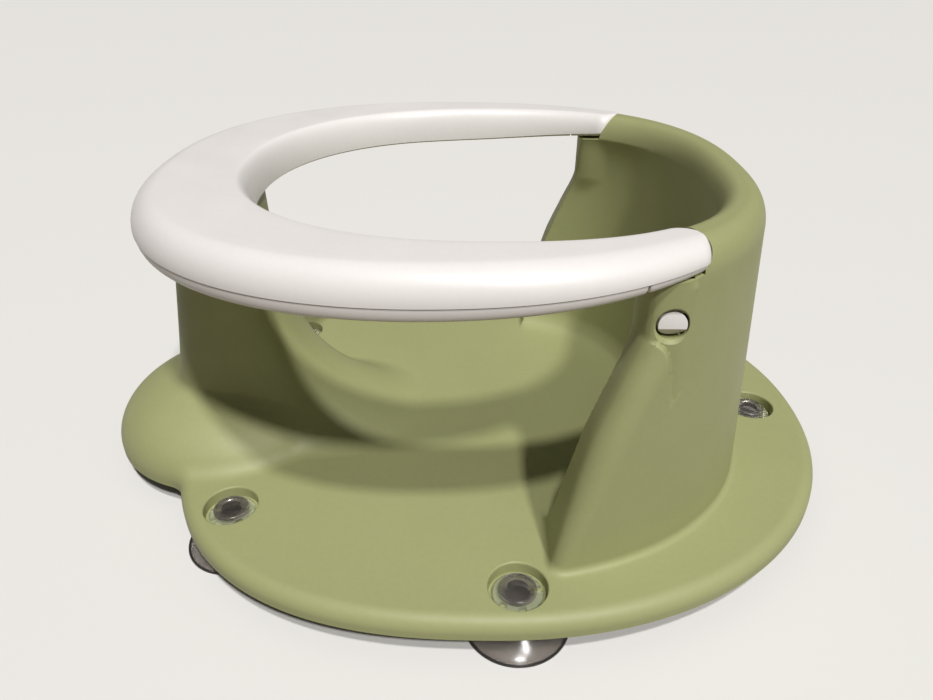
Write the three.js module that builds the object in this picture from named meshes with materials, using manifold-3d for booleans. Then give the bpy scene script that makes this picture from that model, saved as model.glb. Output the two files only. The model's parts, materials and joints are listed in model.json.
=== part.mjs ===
// Baby bath seat: a green shell with a backrest and a front pillar, a white lift-off safety ring
// that plugs into two posts, and five suction cups under the flange.
// Millimetres, +Z up, front towards -Y. The origin is under the middle of the seat, on the floor.
import * as THREE from 'three';
import { mergeVertices } from 'three/addons/utils/BufferGeometryUtils.js';
import Module from 'manifold-3d';

const wasm = await Module();
wasm.setup();

// General clearances and walls
const RUNNING_GAP = 0.3;
const RING_SEAT_OVERRUN = 15;
const SHELL_WALL = 2.6;
const COVER_WALL = 2.4;

// Flange: the flat plate that the seat stands on, with a rounded edge and a short skirt
const FLANGE_TOP = 22;
const SKIRT_BOTTOM = 12.5;
const SKIRT_STRAIGHT = 3;
const SKIRT_DRAW = 0.5;
const FLANGE_EDGE_WIDTH = 6.5;
const FLANGE = {
  centreY: 16, halfWidth: 149, frontReach: 161.5, rearReach: 174, frontPower: 2.5, rearPower: 2.1,
};

// Front lobe: the round dome that the pillar stands on
const LOBE_RADIUS = 65;
const LOBE_CENTRE_Y = -125;
const LOBE_RISE = 28;
const LOBE_SHOULDER = 62;
const LOBE_DRAW = 1;

// Front pillar between the legs
const PILLAR_FRONT_Y = -140;
const PILLAR_TOP_DEPTH = 55;
const PILLAR_HALF_WIDTH = 25;
const PILLAR_FOOT_SPREAD = 24;
const PILLAR_POWER = 2.8;

// Backrest: a hollow double wall round the sides and the back
const RIM_TOP = 161.5;
const RIM_ROUNDING = 9.5;
const REST_RIM = { centreY: -6, halfWidth: 126.8, rearReach: 142, power: 2.35 };
const OPEN_FRONT_REACH = 200;
const REST_FLARE_SIDE = 1;
const REST_FLARE_BACK = 9.5;
const FOOT_FILLET = 3;
const FOOT_LAND = 0.4;
const FRONT_EDGE_HEIGHT = { foot: 20, knee: 82, shoulder: 126, top: 170 };
const FRONT_EDGE_Y = { foot: 39.5, knee: 53.5, shoulder: 69.6, top: 70 };
const NOSE_ROUND = { foot: 8, knee: 14, shoulder: 15, top: 15 };

// Seat well inside the backrest
const WELL = { centreY: 11.5, halfWidth: 94, rearReach: 104.5, power: 2.6 };
const WELL_BELLY = 8;
const WELL_FLOOR_DRAW = 12;
const WELL_FLOOR_ROUND = 12;

// Posts that take the ring's legs
const POST = {
  proud: -1.6, y: 80.3, setBack: -0.4, halfDepth: 11, halfWidth: 10.2, power: 2.3, top: 151.5,
};
const POST_TAPER = { top: 127, waist: 114, foot: 98 };
const POST_WALL = 2.4;
const SOCKET_CLEARANCE = 0.4;
const LATCH_HOLE_RADIUS = 6.2;
const LATCH_HOLE_Z = 132.1;
const LATCH_CHAMFER = 1.2;

// Safety ring
const RING_FRONT = { outerReach: 137, outerPower: 2.25, innerReach: 104.5, innerPower: 2.2 };
const RING_TOP = 162;
const RING_SEAM = 149.3;
const RING_BOTTOM = 143.5;
const SEAM_RISE = 4.7;
const BOTTOM_RISE = 7.5;
const RISE_START_Y = -20;
const RISE_END_Y = 90;
const RING_END = { outerY: 94, innerY: 84 };
const LEG_JOINT_Y = 65.5;
const SEAM_GAP = 0.3;
const SEAM_STEP = 0.8;
const TRAY_ROUND = 3.6;
const END_WALL_SHARE = 0.005;
const TRAY_WALL_SHARE = 0.008;
const STRIP_START_SHARE = 0.004;
const RING_OUTER_ROUND = 12;
const RING_INNER_ROUND = 8;

// Ring legs and their latch fingers
const LEG = { behindFace: 11.5, halfDepth: 3.2, halfWidth: 6, foot: 107, power: 6 };
const LEG_BACK_WALL = 1.4;
const LEG_SIDE_WALL = 1.5;
const LEG_POCKET_FLOOR = 110;
const LEG_POCKET_TOP = 146;
const FINGER_THICKNESS = 1.8;
const FINGER_TOP = 141;
const LATCH_HEAD_RADIUS = 5.3;
const LATCH_HEAD_DEPTH = 4.6;
const LATCH_SET_BACK = 0.8;
const LATCH_RIDGE_DROP = 1.4;
const LATCH_RAMP = 3.4;

// Screws that hold the ring's covers together
const SCREW = { shankRadius: 1.5, headRadius: 2.9, headHeight: 2, length: 9.5 };
const SCREW_BOSS_RADIUS = 3.9;
const SCREW_SEAT_DEPTH = 2.4;
const SCREW_PLATE = 2.2;
const LEG_SCREW_AHEAD = 4;
const COVER_SCREW_STATIONS = [0.09, 0.25, 0.42];

// Suction cups, their clear collars and the recesses that hold them
const CUP_SPOTS = {
  front: { direction: -55.6, inset: 20 },
  side: { direction: 4.5, inset: 19.2 },
  rear: { direction: 90, inset: 25.8 },
};
const RECESS_RADIUS = 12.5;
const RECESS_DEPTH = 6;
const RECESS_FLOOR = 2.6;
const CUP_RADIUS = 23;
const CUP_LIP = 1.6;
const CUP_HOLLOW = 5.6;
const CUP_SHOULDER_RADIUS = 9;
const CUP_SHOULDER_Z = 11;
const NECK_RADIUS = 5.2;
const NECK_CLEARANCE = 0.5;
const KNOB_RADIUS = 7.4;
const KNOB_HEIGHT = 2.6;
const COLLAR_RADIUS = 10.6;
const COLLAR_HEIGHT = 1.9;
const COLLAR_SPLIT = 3;

// Reach of cutting blocks past what they cut
const FAR_OUT = 260;
const MARGIN = 10;

// Sides of the round forms
const FLANGE_SIDES = 48;
const LOBE_SIDES = 32;
const PILLAR_SIDES = 24;
const REST_SIDES = 56;
const ROUND_SIDES = 20;
const SMALL_SIDES = 12;
const RING_STEPS = 28;
const RING_END_STEPS = 4;

// Colours
const GREEN = new THREE.MeshStandardMaterial({ color: 0xaab282, roughness: 0.45, metalness: 0 });
const WHITE = new THREE.MeshStandardMaterial({ color: 0xe6e4e2, roughness: 0.35, metalness: 0 });
const CLEAR = new THREE.MeshStandardMaterial({ color: 0x8b8a80, roughness: 0.2, metalness: 0 });
const GLOSSY = new THREE.MeshStandardMaterial({ color: 0xc9cabc, roughness: 0.1, metalness: 0 });
const STEEL = new THREE.MeshStandardMaterial({ color: 0xa8a8a8, roughness: 0.35, metalness: 1 });

// Solids

function toSolid(geometry) {
  const bare = geometry.clone();
  bare.deleteAttribute('normal');
  bare.deleteAttribute('uv');
  const merged = mergeVertices(bare, 1e-4);
  return new wasm.Manifold(new wasm.Mesh({
    numProp: 3,
    vertProperties: new Float32Array(merged.attributes.position.array),
    triVerts: new Uint32Array(merged.index.array),
  }));
}

function toGeometry(body) {
  const mesh = body.getMesh();
  const geometry = new THREE.BufferGeometry();
  geometry.setAttribute('position', new THREE.BufferAttribute(new Float32Array(mesh.vertProperties), 3));
  geometry.setIndex(new THREE.BufferAttribute(new Uint32Array(mesh.triVerts), 1));
  geometry.computeVertexNormals();
  return geometry;
}

// Closed skin through rings of points, each end closed by a fan about its middle
function loft(rings) {
  const count = rings[0].length;
  const points = rings.flat();
  const faces = [];
  for (let row = 0; row + 1 < rings.length; row += 1) {
    for (let i = 0; i < count; i += 1) {
      const a = row * count + i;
      const b = row * count + (i + 1) % count;
      faces.push([a, b, b + count], [a, b + count, a + count]);
    }
  }
  const last = (rings.length - 1) * count;
  const startMiddle = points.push(middleOf(rings[0])) - 1;
  const endMiddle = points.push(middleOf(rings[rings.length - 1])) - 1;
  for (let i = 0; i < count; i += 1) {
    const next = (i + 1) % count;
    faces.push([startMiddle, next, i], [endMiddle, last + i, last + next]);
  }
  if (signedVolume(points, faces) < 0) {
    faces.forEach((face) => face.reverse());
  }
  const geometry = new THREE.BufferGeometry();
  geometry.setAttribute('position', new THREE.Float32BufferAttribute(points.flat(), 3));
  geometry.setIndex(faces.flat());
  return toSolid(geometry);
}

function middleOf(ring) {
  const sum = ring.reduce((total, p) => [total[0] + p[0], total[1] + p[1], total[2] + p[2]], [0, 0, 0]);
  return sum.map((value) => value / ring.length);
}

function signedVolume(points, faces) {
  let volume = 0;
  for (const [i, j, k] of faces) {
    const a = new THREE.Vector3(...points[i]);
    const b = new THREE.Vector3(...points[j]);
    const c = new THREE.Vector3(...points[k]);
    volume += a.dot(b.cross(c)) / 6;
  }
  return volume;
}

function box(low, high) {
  const size = high.map((value, axis) => value - low[axis]);
  const geometry = new THREE.BoxGeometry(...size);
  geometry.translate(...low.map((value, axis) => value + size[axis] / 2));
  return toSolid(geometry);
}

function uprightCylinder(x, y, radius, low, high, sides = 24) {
  const geometry = new THREE.CylinderGeometry(radius, radius, high - low, sides);
  geometry.rotateX(Math.PI / 2);
  geometry.translate(x, y, (low + high) / 2);
  return toSolid(geometry);
}

function lathe(profile, sides) {
  const geometry = new THREE.LatheGeometry(profile.map(([r, z]) => new THREE.Vector2(r, z)), sides);
  geometry.rotateX(Math.PI / 2);
  return toSolid(geometry);
}

function mirrored(body) {
  return body.mirror([1, 0, 0]);
}

// Outlines

// Point of an egg-shaped outline in a direction, moved inwards by an inset
function eggPoint(egg, angle, inset = 0) {
  const front = Math.sin(angle) < 0;
  const power = front ? egg.frontPower : egg.rearPower;
  const reach = front ? egg.frontReach : egg.rearReach;
  const cos = Math.cos(angle);
  const sin = Math.sin(angle);
  const size = (Math.abs(cos) / egg.halfWidth) ** power + (Math.abs(sin) / reach) ** power;
  const radius = size ** (-1 / power);
  const x = radius * cos;
  const y = radius * sin;
  const slopeX = Math.sign(x) * Math.abs(x / egg.halfWidth) ** (power - 1) / egg.halfWidth;
  const slopeY = Math.sign(y) * Math.abs(y / reach) ** (power - 1) / reach;
  const slope = Math.hypot(slopeX, slopeY);
  return [x - inset * slopeX / slope, egg.centreY + y - inset * slopeY / slope];
}

function eggRing(egg, z, inset, count) {
  const ring = [];
  for (let i = 0; i < count; i += 1) {
    const [x, y] = eggPoint(egg, (2 * Math.PI * i) / count, inset);
    ring.push([x, y, z]);
  }
  return ring;
}

function evenEgg(centreY, halfWidth, frontReach, rearReach, power) {
  return { centreY, halfWidth, frontReach, rearReach, frontPower: power, rearPower: power };
}

function roundedOblong(x, y, halfX, halfY, power, z, count = ROUND_SIDES) {
  const egg = evenEgg(y, halfX, halfY, halfY, power);
  return eggRing(egg, z, 0, count).map(([px, py, pz]) => [px + x, py, pz]);
}

// Half width of the rim's outline at a place between front and back
function rimEdge(y) {
  const { centreY, halfWidth, rearReach, power } = REST_RIM;
  return halfWidth * (1 - (Math.abs(y - centreY) / rearReach) ** power) ** (1 / power);
}

const POST_FACE = rimEdge(POST.y) + POST.proud;
const POST_X = POST_FACE - POST.halfDepth;
const LEG_X = POST_FACE - LEG.behindFace;

// The cups stand in pairs on both sides, set in from the flange's edge, and one stands behind
function cupPlaces() {
  const places = {};
  for (const [name, { direction, inset }] of Object.entries(CUP_SPOTS)) {
    const [x, y] = eggPoint(FLANGE, THREE.MathUtils.degToRad(direction), inset);
    if (direction === 90) {
      places[name] = [0, y];
    } else {
      places[`${name}_right`] = [x, y];
      places[`${name}_left`] = [-x, y];
    }
  }
  return places;
}

const CUP_PLACES = cupPlaces();

const FRONT_EDGE = Object.entries(FRONT_EDGE_HEIGHT).map(([name, z]) => (
  { z, y: FRONT_EDGE_Y[name], round: NOSE_ROUND[name] }
));

function mix(from, to, share) {
  return from + (to - from) * share;
}

function stepAlong(table, z) {
  const next = table.findIndex((entry) => entry.z >= z);
  if (next <= 0) {
    return table[0].y;
  }
  const a = table[next - 1];
  const b = table[next];
  return mix(a.y, b.y, (z - a.z) / (b.z - a.z));
}

// Shell

function flangeForm(offset) {
  const bottom = offset > 0 ? SKIRT_BOTTOM - 1 : SKIRT_BOTTOM;
  const straightTop = SKIRT_BOTTOM + SKIRT_STRAIGHT;
  const rise = FLANGE_TOP - straightTop - offset;
  const rings = [eggRing(FLANGE, bottom, offset, FLANGE_SIDES)];
  for (const turn of [0, 30, 60, 90]) {
    const angle = THREE.MathUtils.degToRad(turn);
    const inset = offset + SKIRT_DRAW + (FLANGE_EDGE_WIDTH - SKIRT_DRAW) * (1 - Math.cos(angle));
    rings.push(eggRing(FLANGE, straightTop + rise * Math.sin(angle), inset, FLANGE_SIDES));
  }
  return loft(rings);
}

function lobeForm(offset) {
  const lobe = evenEgg(LOBE_CENTRE_Y, LOBE_RADIUS, LOBE_RADIUS, LOBE_RADIUS, 2);
  const bottom = offset > 0 ? SKIRT_BOTTOM - 1 : SKIRT_BOTTOM;
  const straightTop = SKIRT_BOTTOM + SKIRT_STRAIGHT;
  const rise = FLANGE_TOP + LOBE_RISE - straightTop - offset;
  const rings = [eggRing(lobe, bottom, offset, LOBE_SIDES)];
  for (const turn of [0, 18, 36, 54, 72, 90]) {
    const angle = THREE.MathUtils.degToRad(turn);
    const inset = offset + LOBE_DRAW + (LOBE_SHOULDER - LOBE_DRAW) * (1 - Math.cos(angle));
    rings.push(eggRing(lobe, straightTop + rise * Math.sin(angle), inset, LOBE_SIDES));
  }
  return loft(rings);
}

// Height above the flange, forward and rearward growth, and sideways growth as shares of the foot's spread
const PILLAR_LEVELS = [
  [-6, 0.85, 2.9, 1.05], [1, 0.76, 2.3, 0.8], [6, 0.66, 1.85, 0.58], [14, 0.55, 1.3, 0.38],
  [24, 0.45, 0.78, 0.23], [38, 0.33, 0.26, 0.1], [58, 0.2, -0.12, 0.02], [76, 0.08, -0.34, 0],
  [98, -0.06, -0.25, 0],
];
const PILLAR_TOP_LEAN = -0.21;

function pillarForm(offset, bottom, top) {
  const rings = [];
  const backY = PILLAR_FRONT_Y + PILLAR_TOP_DEPTH;
  const levels = [...PILLAR_LEVELS, [top - FLANGE_TOP, PILLAR_TOP_LEAN, 0, 0]];
  levels.forEach(([height, forward, rearward, sideways], index) => {
    const low = PILLAR_FRONT_Y - forward * PILLAR_FOOT_SPREAD + offset;
    const high = backY + rearward * PILLAR_FOOT_SPREAD - offset;
    const half = PILLAR_HALF_WIDTH + sideways * PILLAR_FOOT_SPREAD - offset;
    const egg = evenEgg((low + high) / 2, half, (high - low) / 2, (high - low) / 2, PILLAR_POWER);
    const z = index === 0 ? bottom : FLANGE_TOP + height - offset;
    rings.push(eggRing(egg, z, 0, PILLAR_SIDES));
  });
  return loft(rings);
}

function restOutline(share, spread) {
  const halfWidth = REST_RIM.halfWidth + REST_FLARE_SIDE * (1 - share) + spread;
  const rearReach = REST_RIM.rearReach + REST_FLARE_BACK * (1 - share) + spread;
  return evenEgg(REST_RIM.centreY, halfWidth, OPEN_FRONT_REACH, rearReach, REST_RIM.power);
}

function restForm(offset, bottom) {
  const rings = [];
  const filletTop = FLANGE_TOP + 2 * FOOT_FILLET;
  const roundingFoot = RIM_TOP - RIM_ROUNDING;
  if (offset === 0) {
    rings.push(eggRing(restOutline(0, FOOT_FILLET), bottom, 0, REST_SIDES));
    rings.push(eggRing(restOutline(0, FOOT_FILLET), FLANGE_TOP + FOOT_LAND, 0, REST_SIDES));
    rings.push(eggRing(restOutline(0, FOOT_FILLET * 0.3), FLANGE_TOP + FOOT_FILLET * 0.8, 0, REST_SIDES));
  } else {
    rings.push(eggRing(restOutline(0, 0), bottom, offset, REST_SIDES));
  }
  rings.push(eggRing(restOutline(0, 0), filletTop, offset, REST_SIDES));
  rings.push(eggRing(restOutline(0.5, 0), mix(filletTop, roundingFoot, 0.5), offset, REST_SIDES));
  for (const turn of [0, 30, 60, 90]) {
    const angle = THREE.MathUtils.degToRad(turn);
    const inset = offset + (RIM_ROUNDING - offset) * (1 - Math.cos(angle));
    const z = roundingFoot + (RIM_ROUNDING - offset) * Math.sin(angle);
    rings.push(eggRing(restOutline(1, 0), z, inset, REST_SIDES));
  }
  return loft(rings);
}

// Height share, belly share and rearward draw share of the well, from its floor up to the rim
const WELL_LEVELS = [
  [0.12, 0.62, 0.75], [0.3, 0.85, 0.5], [0.55, 1, 0.28], [0.8, 0.95, 0.08], [0.94, 0.5, 0],
];

function wellForm(offset, top) {
  const well = (belly, draw) => {
    const halfWidth = WELL.halfWidth + WELL_BELLY * belly;
    const rearReach = WELL.rearReach - WELL_FLOOR_DRAW * draw;
    return evenEgg(WELL.centreY, halfWidth, OPEN_FRONT_REACH, rearReach, WELL.power);
  };
  const rings = [];
  const height = RIM_TOP - RIM_ROUNDING - FLANGE_TOP;
  const floor = offset > 0 ? SKIRT_BOTTOM - 2 : FLANGE_TOP;
  const floorOutline = well(0.35, 1);
  if (offset > 0) {
    rings.push(eggRing(floorOutline, floor, -offset, REST_SIDES));
  } else {
    rings.push(eggRing(floorOutline, FLANGE_TOP, WELL_FLOOR_ROUND * 0.6, REST_SIDES));
    const rounded = FLANGE_TOP + WELL_FLOOR_ROUND * 0.25;
    rings.push(eggRing(floorOutline, rounded, WELL_FLOOR_ROUND * 0.2, REST_SIDES));
  }
  for (const [share, belly, draw] of WELL_LEVELS) {
    rings.push(eggRing(well(belly, draw), FLANGE_TOP + height * share, -offset, REST_SIDES));
  }
  const lip = well(0, 0);
  const rounding = RIM_ROUNDING - offset;
  for (const turn of [0, 40, 80]) {
    const angle = THREE.MathUtils.degToRad(turn);
    const flare = offset + rounding * (1 - Math.cos(angle));
    rings.push(eggRing(lip, RIM_TOP - RIM_ROUNDING + rounding * Math.sin(angle), -flare, REST_SIDES));
  }
  rings.push(eggRing(lip, top, -offset - rounding, REST_SIDES));
  return loft(rings);
}

// Everything in front of the slanting front edges of the side walls
function frontBlock(back, bottom) {
  const levels = [bottom, ...FRONT_EDGE.map((entry) => entry.z)];
  const rings = levels.map((z) => {
    const y = stepAlong(FRONT_EDGE, z) + back;
    return [[-FAR_OUT, -FAR_OUT, z], [FAR_OUT, -FAR_OUT, z], [FAR_OUT, y, z], [-FAR_OUT, y, z]];
  });
  return loft(rings);
}

// Half width of the outline of the walls' outside, at a height share and a place behind the middle
function sideEdge(share, y) {
  const { centreY, halfWidth, rearReach, rearPower } = restOutline(share, 0);
  return halfWidth * (1 - ((y - centreY) / rearReach) ** rearPower) ** (1 / rearPower);
}

// What rounding the outer corner takes away where a side wall ends in front
function noseCorner(offset) {
  const blocks = [];
  const columns = [];
  for (const { z, y, round } of FRONT_EDGE) {
    const share = Math.min(1, Math.max(0, (z - FLANGE_TOP) / (RIM_TOP - RIM_ROUNDING - FLANGE_TOP)));
    const middleY = y + round;
    const middleX = sideEdge(share, middleY) - round;
    blocks.push([
      [middleX, y - MARGIN, z], [FAR_OUT, y - MARGIN, z], [FAR_OUT, middleY, z], [middleX, middleY, z],
    ]);
    const column = evenEgg(middleY, round - offset, round - offset, round - offset, 2);
    columns.push(eggRing(column, z, 0, ROUND_SIDES).map(([x, py, pz]) => [x + middleX, py, pz]));
  }
  return loft(blocks).subtract(loft(columns));
}

// Post and the bulges it makes on both faces of the wall, or its hollow when an inset is given
function postForm(inset) {
  const { y, setBack, halfDepth, halfWidth, power, top } = POST;
  const level = (depth, width, backward, z) => (
    roundedOblong(POST_X, y + backward, depth - inset, width - inset, power, z, 2 * SMALL_SIDES)
  );
  return loft([
    level(POST_WALL + 2, POST_WALL + 1, halfWidth * 0.4, POST_TAPER.foot),
    level(halfDepth * 0.86, halfWidth * 0.66, halfWidth * 0.24, POST_TAPER.waist),
    level(halfDepth, halfWidth, setBack, POST_TAPER.top),
    level(halfDepth, halfWidth, setBack, top - inset),
  ]);
}

// Room for the leg, and beside it for the latch head, grown by a clearance or by a clearance and a wall
function socketForm(growth) {
  const { halfDepth, halfWidth, foot, power } = LEG;
  const floor = foot - RUNNING_GAP - growth;
  const outline = (z) => roundedOblong(LEG_X, POST.y, halfDepth + growth, halfWidth + growth, power, z);
  const face = POST_FACE - POST_WALL - SOCKET_CLEARANCE + growth;
  const side = LATCH_HEAD_RADIUS + growth;
  const low = LATCH_HOLE_Z - LATCH_HEAD_RADIUS - SOCKET_CLEARANCE - growth;
  const open = POST.top + MARGIN;
  const chamber = box([LEG_X, POST.y - side, low], [face, POST.y + side, open]);
  return loft([outline(floor), outline(open)]).add(chamber);
}

function latchHole() {
  const deep = POST_WALL + LATCH_HEAD_RADIUS;
  const hole = new THREE.CylinderGeometry(LATCH_HOLE_RADIUS, LATCH_HOLE_RADIUS, deep, ROUND_SIDES);
  hole.rotateZ(Math.PI / 2);
  hole.translate(POST_FACE, POST.y, LATCH_HOLE_Z);
  const wide = LATCH_HOLE_RADIUS + LATCH_CHAMFER;
  const bevel = new THREE.CylinderGeometry(wide, LATCH_HOLE_RADIUS, LATCH_CHAMFER, ROUND_SIDES);
  bevel.rotateZ(-Math.PI / 2);
  bevel.translate(POST_FACE - LATCH_CHAMFER / 2 + RUNNING_GAP, POST.y, LATCH_HOLE_Z);
  return toSolid(hole).add(toSolid(bevel));
}

function bothSides(body) {
  return body.add(mirrored(body));
}

// Height of the ring's underside over the posts, less the running gap
function underRing() {
  return ringStation(shareAt(POST.y)).bottom - RUNNING_GAP;
}

// Room over the deck in front of the rim's ends, which stand askew like the ends of the ring
function aheadOfRim(low, gap) {
  const outerX = eggPoint(RING_OUTER, endAngle(RING_OUTER, RING_END.outerY))[0];
  const innerX = eggPoint(RING_INNER, endAngle(RING_INNER, RING_END.innerY))[0];
  const half = [
    [FAR_OUT, -FAR_OUT], [FAR_OUT, RING_END.outerY + gap], [outerX, RING_END.outerY + gap],
    [innerX, RING_END.innerY + gap],
  ];
  const plan = [...half, ...half.map(([x, y]) => [-x, y]).reverse()];
  return loft([low, RIM_TOP + MARGIN].map((z) => plan.map(([x, y]) => [x, y, z])));
}

function backrest() {
  const walls = restForm(0, FLANGE_TOP - SHELL_WALL)
    .subtract(wellForm(0, RIM_TOP + MARGIN))
    .subtract(frontBlock(0, FLANGE_TOP - MARGIN))
    .subtract(bothSides(noseCorner(0)));
  return walls.subtract(aheadOfRim(underRing(), RUNNING_GAP)).add(bothSides(postForm(0)));
}

// Hollow between the two faces of the backrest, with the sockets' walls left standing in it
function backrestHollow() {
  const hollow = restForm(SHELL_WALL, SKIRT_BOTTOM - 1)
    .subtract(wellForm(SHELL_WALL, RIM_TOP + MARGIN))
    .subtract(frontBlock(SHELL_WALL, SKIRT_BOTTOM - 2))
    .subtract(bothSides(noseCorner(SHELL_WALL)));
  const deck = aheadOfRim(underRing() - SHELL_WALL, SHELL_WALL);
  const sockets = bothSides(socketForm(SOCKET_CLEARANCE + POST_WALL));
  return hollow.add(bothSides(postForm(POST_WALL))).subtract(deck).subtract(sockets);
}

function shell() {
  const pillarTop = RING_BOTTOM - RUNNING_GAP;
  let body = flangeForm(0).add(lobeForm(0));
  body = body.subtract(flangeForm(SHELL_WALL)).subtract(lobeForm(SHELL_WALL));
  body = body.add(pillarForm(0, FLANGE_TOP - 4, pillarTop)).add(backrest());
  body = body.subtract(pillarForm(SHELL_WALL, SKIRT_BOTTOM, pillarTop)).subtract(backrestHollow());
  const recessFloorZ = FLANGE_TOP - RECESS_DEPTH;
  for (const [x, y] of Object.values(CUP_PLACES)) {
    const bossRadius = RECESS_RADIUS + SHELL_WALL;
    const bossFoot = recessFloorZ - RECESS_FLOOR;
    body = body.add(uprightCylinder(x, y, bossRadius, bossFoot, FLANGE_TOP - 1, ROUND_SIDES));
  }
  for (const [x, y] of Object.values(CUP_PLACES)) {
    const high = FLANGE_TOP + MARGIN;
    const bore = NECK_RADIUS + NECK_CLEARANCE;
    body = body.subtract(uprightCylinder(x, y, RECESS_RADIUS, recessFloorZ, high, ROUND_SIDES));
    body = body.subtract(uprightCylinder(x, y, bore, 0, FLANGE_TOP, 2 * SMALL_SIDES));
  }
  body = body.subtract(bothSides(socketForm(SOCKET_CLEARANCE))).subtract(bothSides(latchHole()));
  return body.subtract(ringSeat(RUNNING_GAP));
}

// Ring

// The ring carries on the outlines of the rim and of the well round the front
const RING_OUTER = {
  ...REST_RIM,
  frontReach: RING_FRONT.outerReach,
  frontPower: RING_FRONT.outerPower,
  rearPower: REST_RIM.power,
};
const RING_INNER = {
  ...WELL,
  frontReach: RING_FRONT.innerReach,
  frontPower: RING_FRONT.innerPower,
  rearPower: WELL.power,
};

function endAngle(egg, y) {
  let low = 0;
  let high = Math.PI / 2;
  for (let i = 0; i < 40; i += 1) {
    const middle = (low + high) / 2;
    if (eggPoint(egg, middle)[1] < y) {
      low = middle;
    } else {
      high = middle;
    }
  }
  return low;
}

// Edges of the ring at a share of the way from its right end, past the front, to its left end
function ringStation(share) {
  const edge = (egg, endY) => {
    const end = endAngle(egg, endY);
    return eggPoint(egg, mix(end, -Math.PI - end, share));
  };
  const outer = edge(RING_OUTER, RING_END.outerY);
  const inner = edge(RING_INNER, RING_END.innerY);
  const width = Math.hypot(inner[0] - outer[0], inner[1] - outer[1]);
  const across = [(inner[0] - outer[0]) / width, (inner[1] - outer[1]) / width];
  const y = (outer[1] + inner[1]) / 2;
  const rise = Math.max(0, (y - RISE_START_Y) / (RISE_END_Y - RISE_START_Y)) ** 2;
  const seam = RING_SEAM + SEAM_RISE * rise;
  const bottom = RING_BOTTOM + BOTTOM_RISE * rise;
  return { outer, across, width, seam, bottom };
}

function shareAt(y) {
  let low = 0;
  let high = 0.5;
  for (let i = 0; i < 40; i += 1) {
    const middle = (low + high) / 2;
    const { outer, across, width } = ringStation(middle);
    if (outer[1] + across[1] * width / 2 > y) {
      low = middle;
    } else {
      high = middle;
    }
  }
  return low;
}

function place(station, [u, z]) {
  return [station.outer[0] + station.across[0] * u, station.outer[1] + station.across[1] * u, z];
}

// Section of the top cover: a domed cap, its sides falling to the seam
function capSection(station, wall) {
  const { width, seam } = station;
  const foot = wall > 0 ? seam - 2 : seam + SEAM_GAP / 2;
  const rise = RING_TOP - wall - seam;
  const outerRound = Math.min(RING_OUTER_ROUND, width * 0.45);
  const innerRound = Math.min(RING_INNER_ROUND, width * 0.4);
  const section = [[wall, foot]];
  for (const turn of [10, 35, 60, 90]) {
    const angle = THREE.MathUtils.degToRad(turn);
    section.push([wall + (outerRound - wall) * (1 - Math.cos(angle)), seam + rise * Math.sin(angle)]);
  }
  for (const turn of [90, 60, 35, 10]) {
    const angle = THREE.MathUtils.degToRad(turn);
    const inset = wall + (innerRound - wall) * (1 - Math.cos(angle));
    section.push([width - inset, seam + rise * Math.sin(angle)]);
  }
  section.push([width - wall, foot]);
  return section;
}

// Section of the bottom cover: a shallow tray under the seam, stepped in a little from the cap
function traySection(station, wall) {
  const { width, seam, bottom } = station;
  const top = wall > 0 ? seam + 2 : seam - SEAM_GAP / 2;
  const side = SEAM_STEP + wall;
  const floor = bottom + wall;
  const depth = seam - bottom;
  return [
    [side, top], [side, floor + depth * 0.45],
    [side + TRAY_ROUND / 3, floor + depth * 0.1], [side + TRAY_ROUND, floor],
    [width - side - TRAY_ROUND, floor], [width - side - TRAY_ROUND / 3, floor + depth * 0.1],
    [width - side, floor + depth * 0.45], [width - side, top],
  ];
}

// Shares at which every piece of the ring has its facets, closer together over the legs
const RING_SHARES = [];
for (let i = 0; i < RING_END_STEPS; i += 1) {
  const share = mix(0, shareAt(LEG_JOINT_Y), i / RING_END_STEPS);
  RING_SHARES.push(share, 1 - share);
}
for (let i = 0; i <= RING_STEPS; i += 1) {
  RING_SHARES.push(mix(shareAt(LEG_JOINT_Y), 1 - shareAt(LEG_JOINT_Y), i / RING_STEPS));
}
RING_SHARES.sort((a, b) => a - b);

function sweep(section, wall, from, to) {
  const least = 1e-4;
  const between = RING_SHARES.filter((share) => share > from + least && share < to - least);
  const rings = [from, ...between, to].map((share) => {
    const station = ringStation(share);
    return section(station, wall).map((point) => place(station, point));
  });
  return loft(rings);
}

// The ring's whole outer form, grown by a clearance, which cuts a seat for it in the shell.
// On the inner side it also leaves the leg screws free.
function ringSeat(clearance) {
  const grown = (station) => {
    const outline = [...traySection(station, 0).slice(1, -1).reverse(), ...capSection(station, 0)];
    return outline.map(([u, z]) => {
      const sideways = u < station.width / 2 ? -clearance : RING_SEAT_OVERRUN;
      return [u + sideways, z - clearance];
    });
  };
  return sweep(grown, 0, 0, 1);
}

function screwAt(share, across) {
  const station = ringStation(share);
  const [x, y] = place(station, [station.width * across, 0]);
  return { x, y, bottom: station.bottom };
}

const COVER_SCREWS = COVER_SCREW_STATIONS.map((station) => (
  screwAt(mix(shareAt(LEG_JOINT_Y), 0.5, station * 2), 0.5)
));
const LEG_SCREW = {
  x: LEG_X - LEG.halfDepth - SCREW_BOSS_RADIUS - RUNNING_GAP,
  y: POST.y - LEG_SCREW_AHEAD,
  bottom: ringStation(shareAt(POST.y)).bottom,
};

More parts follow.
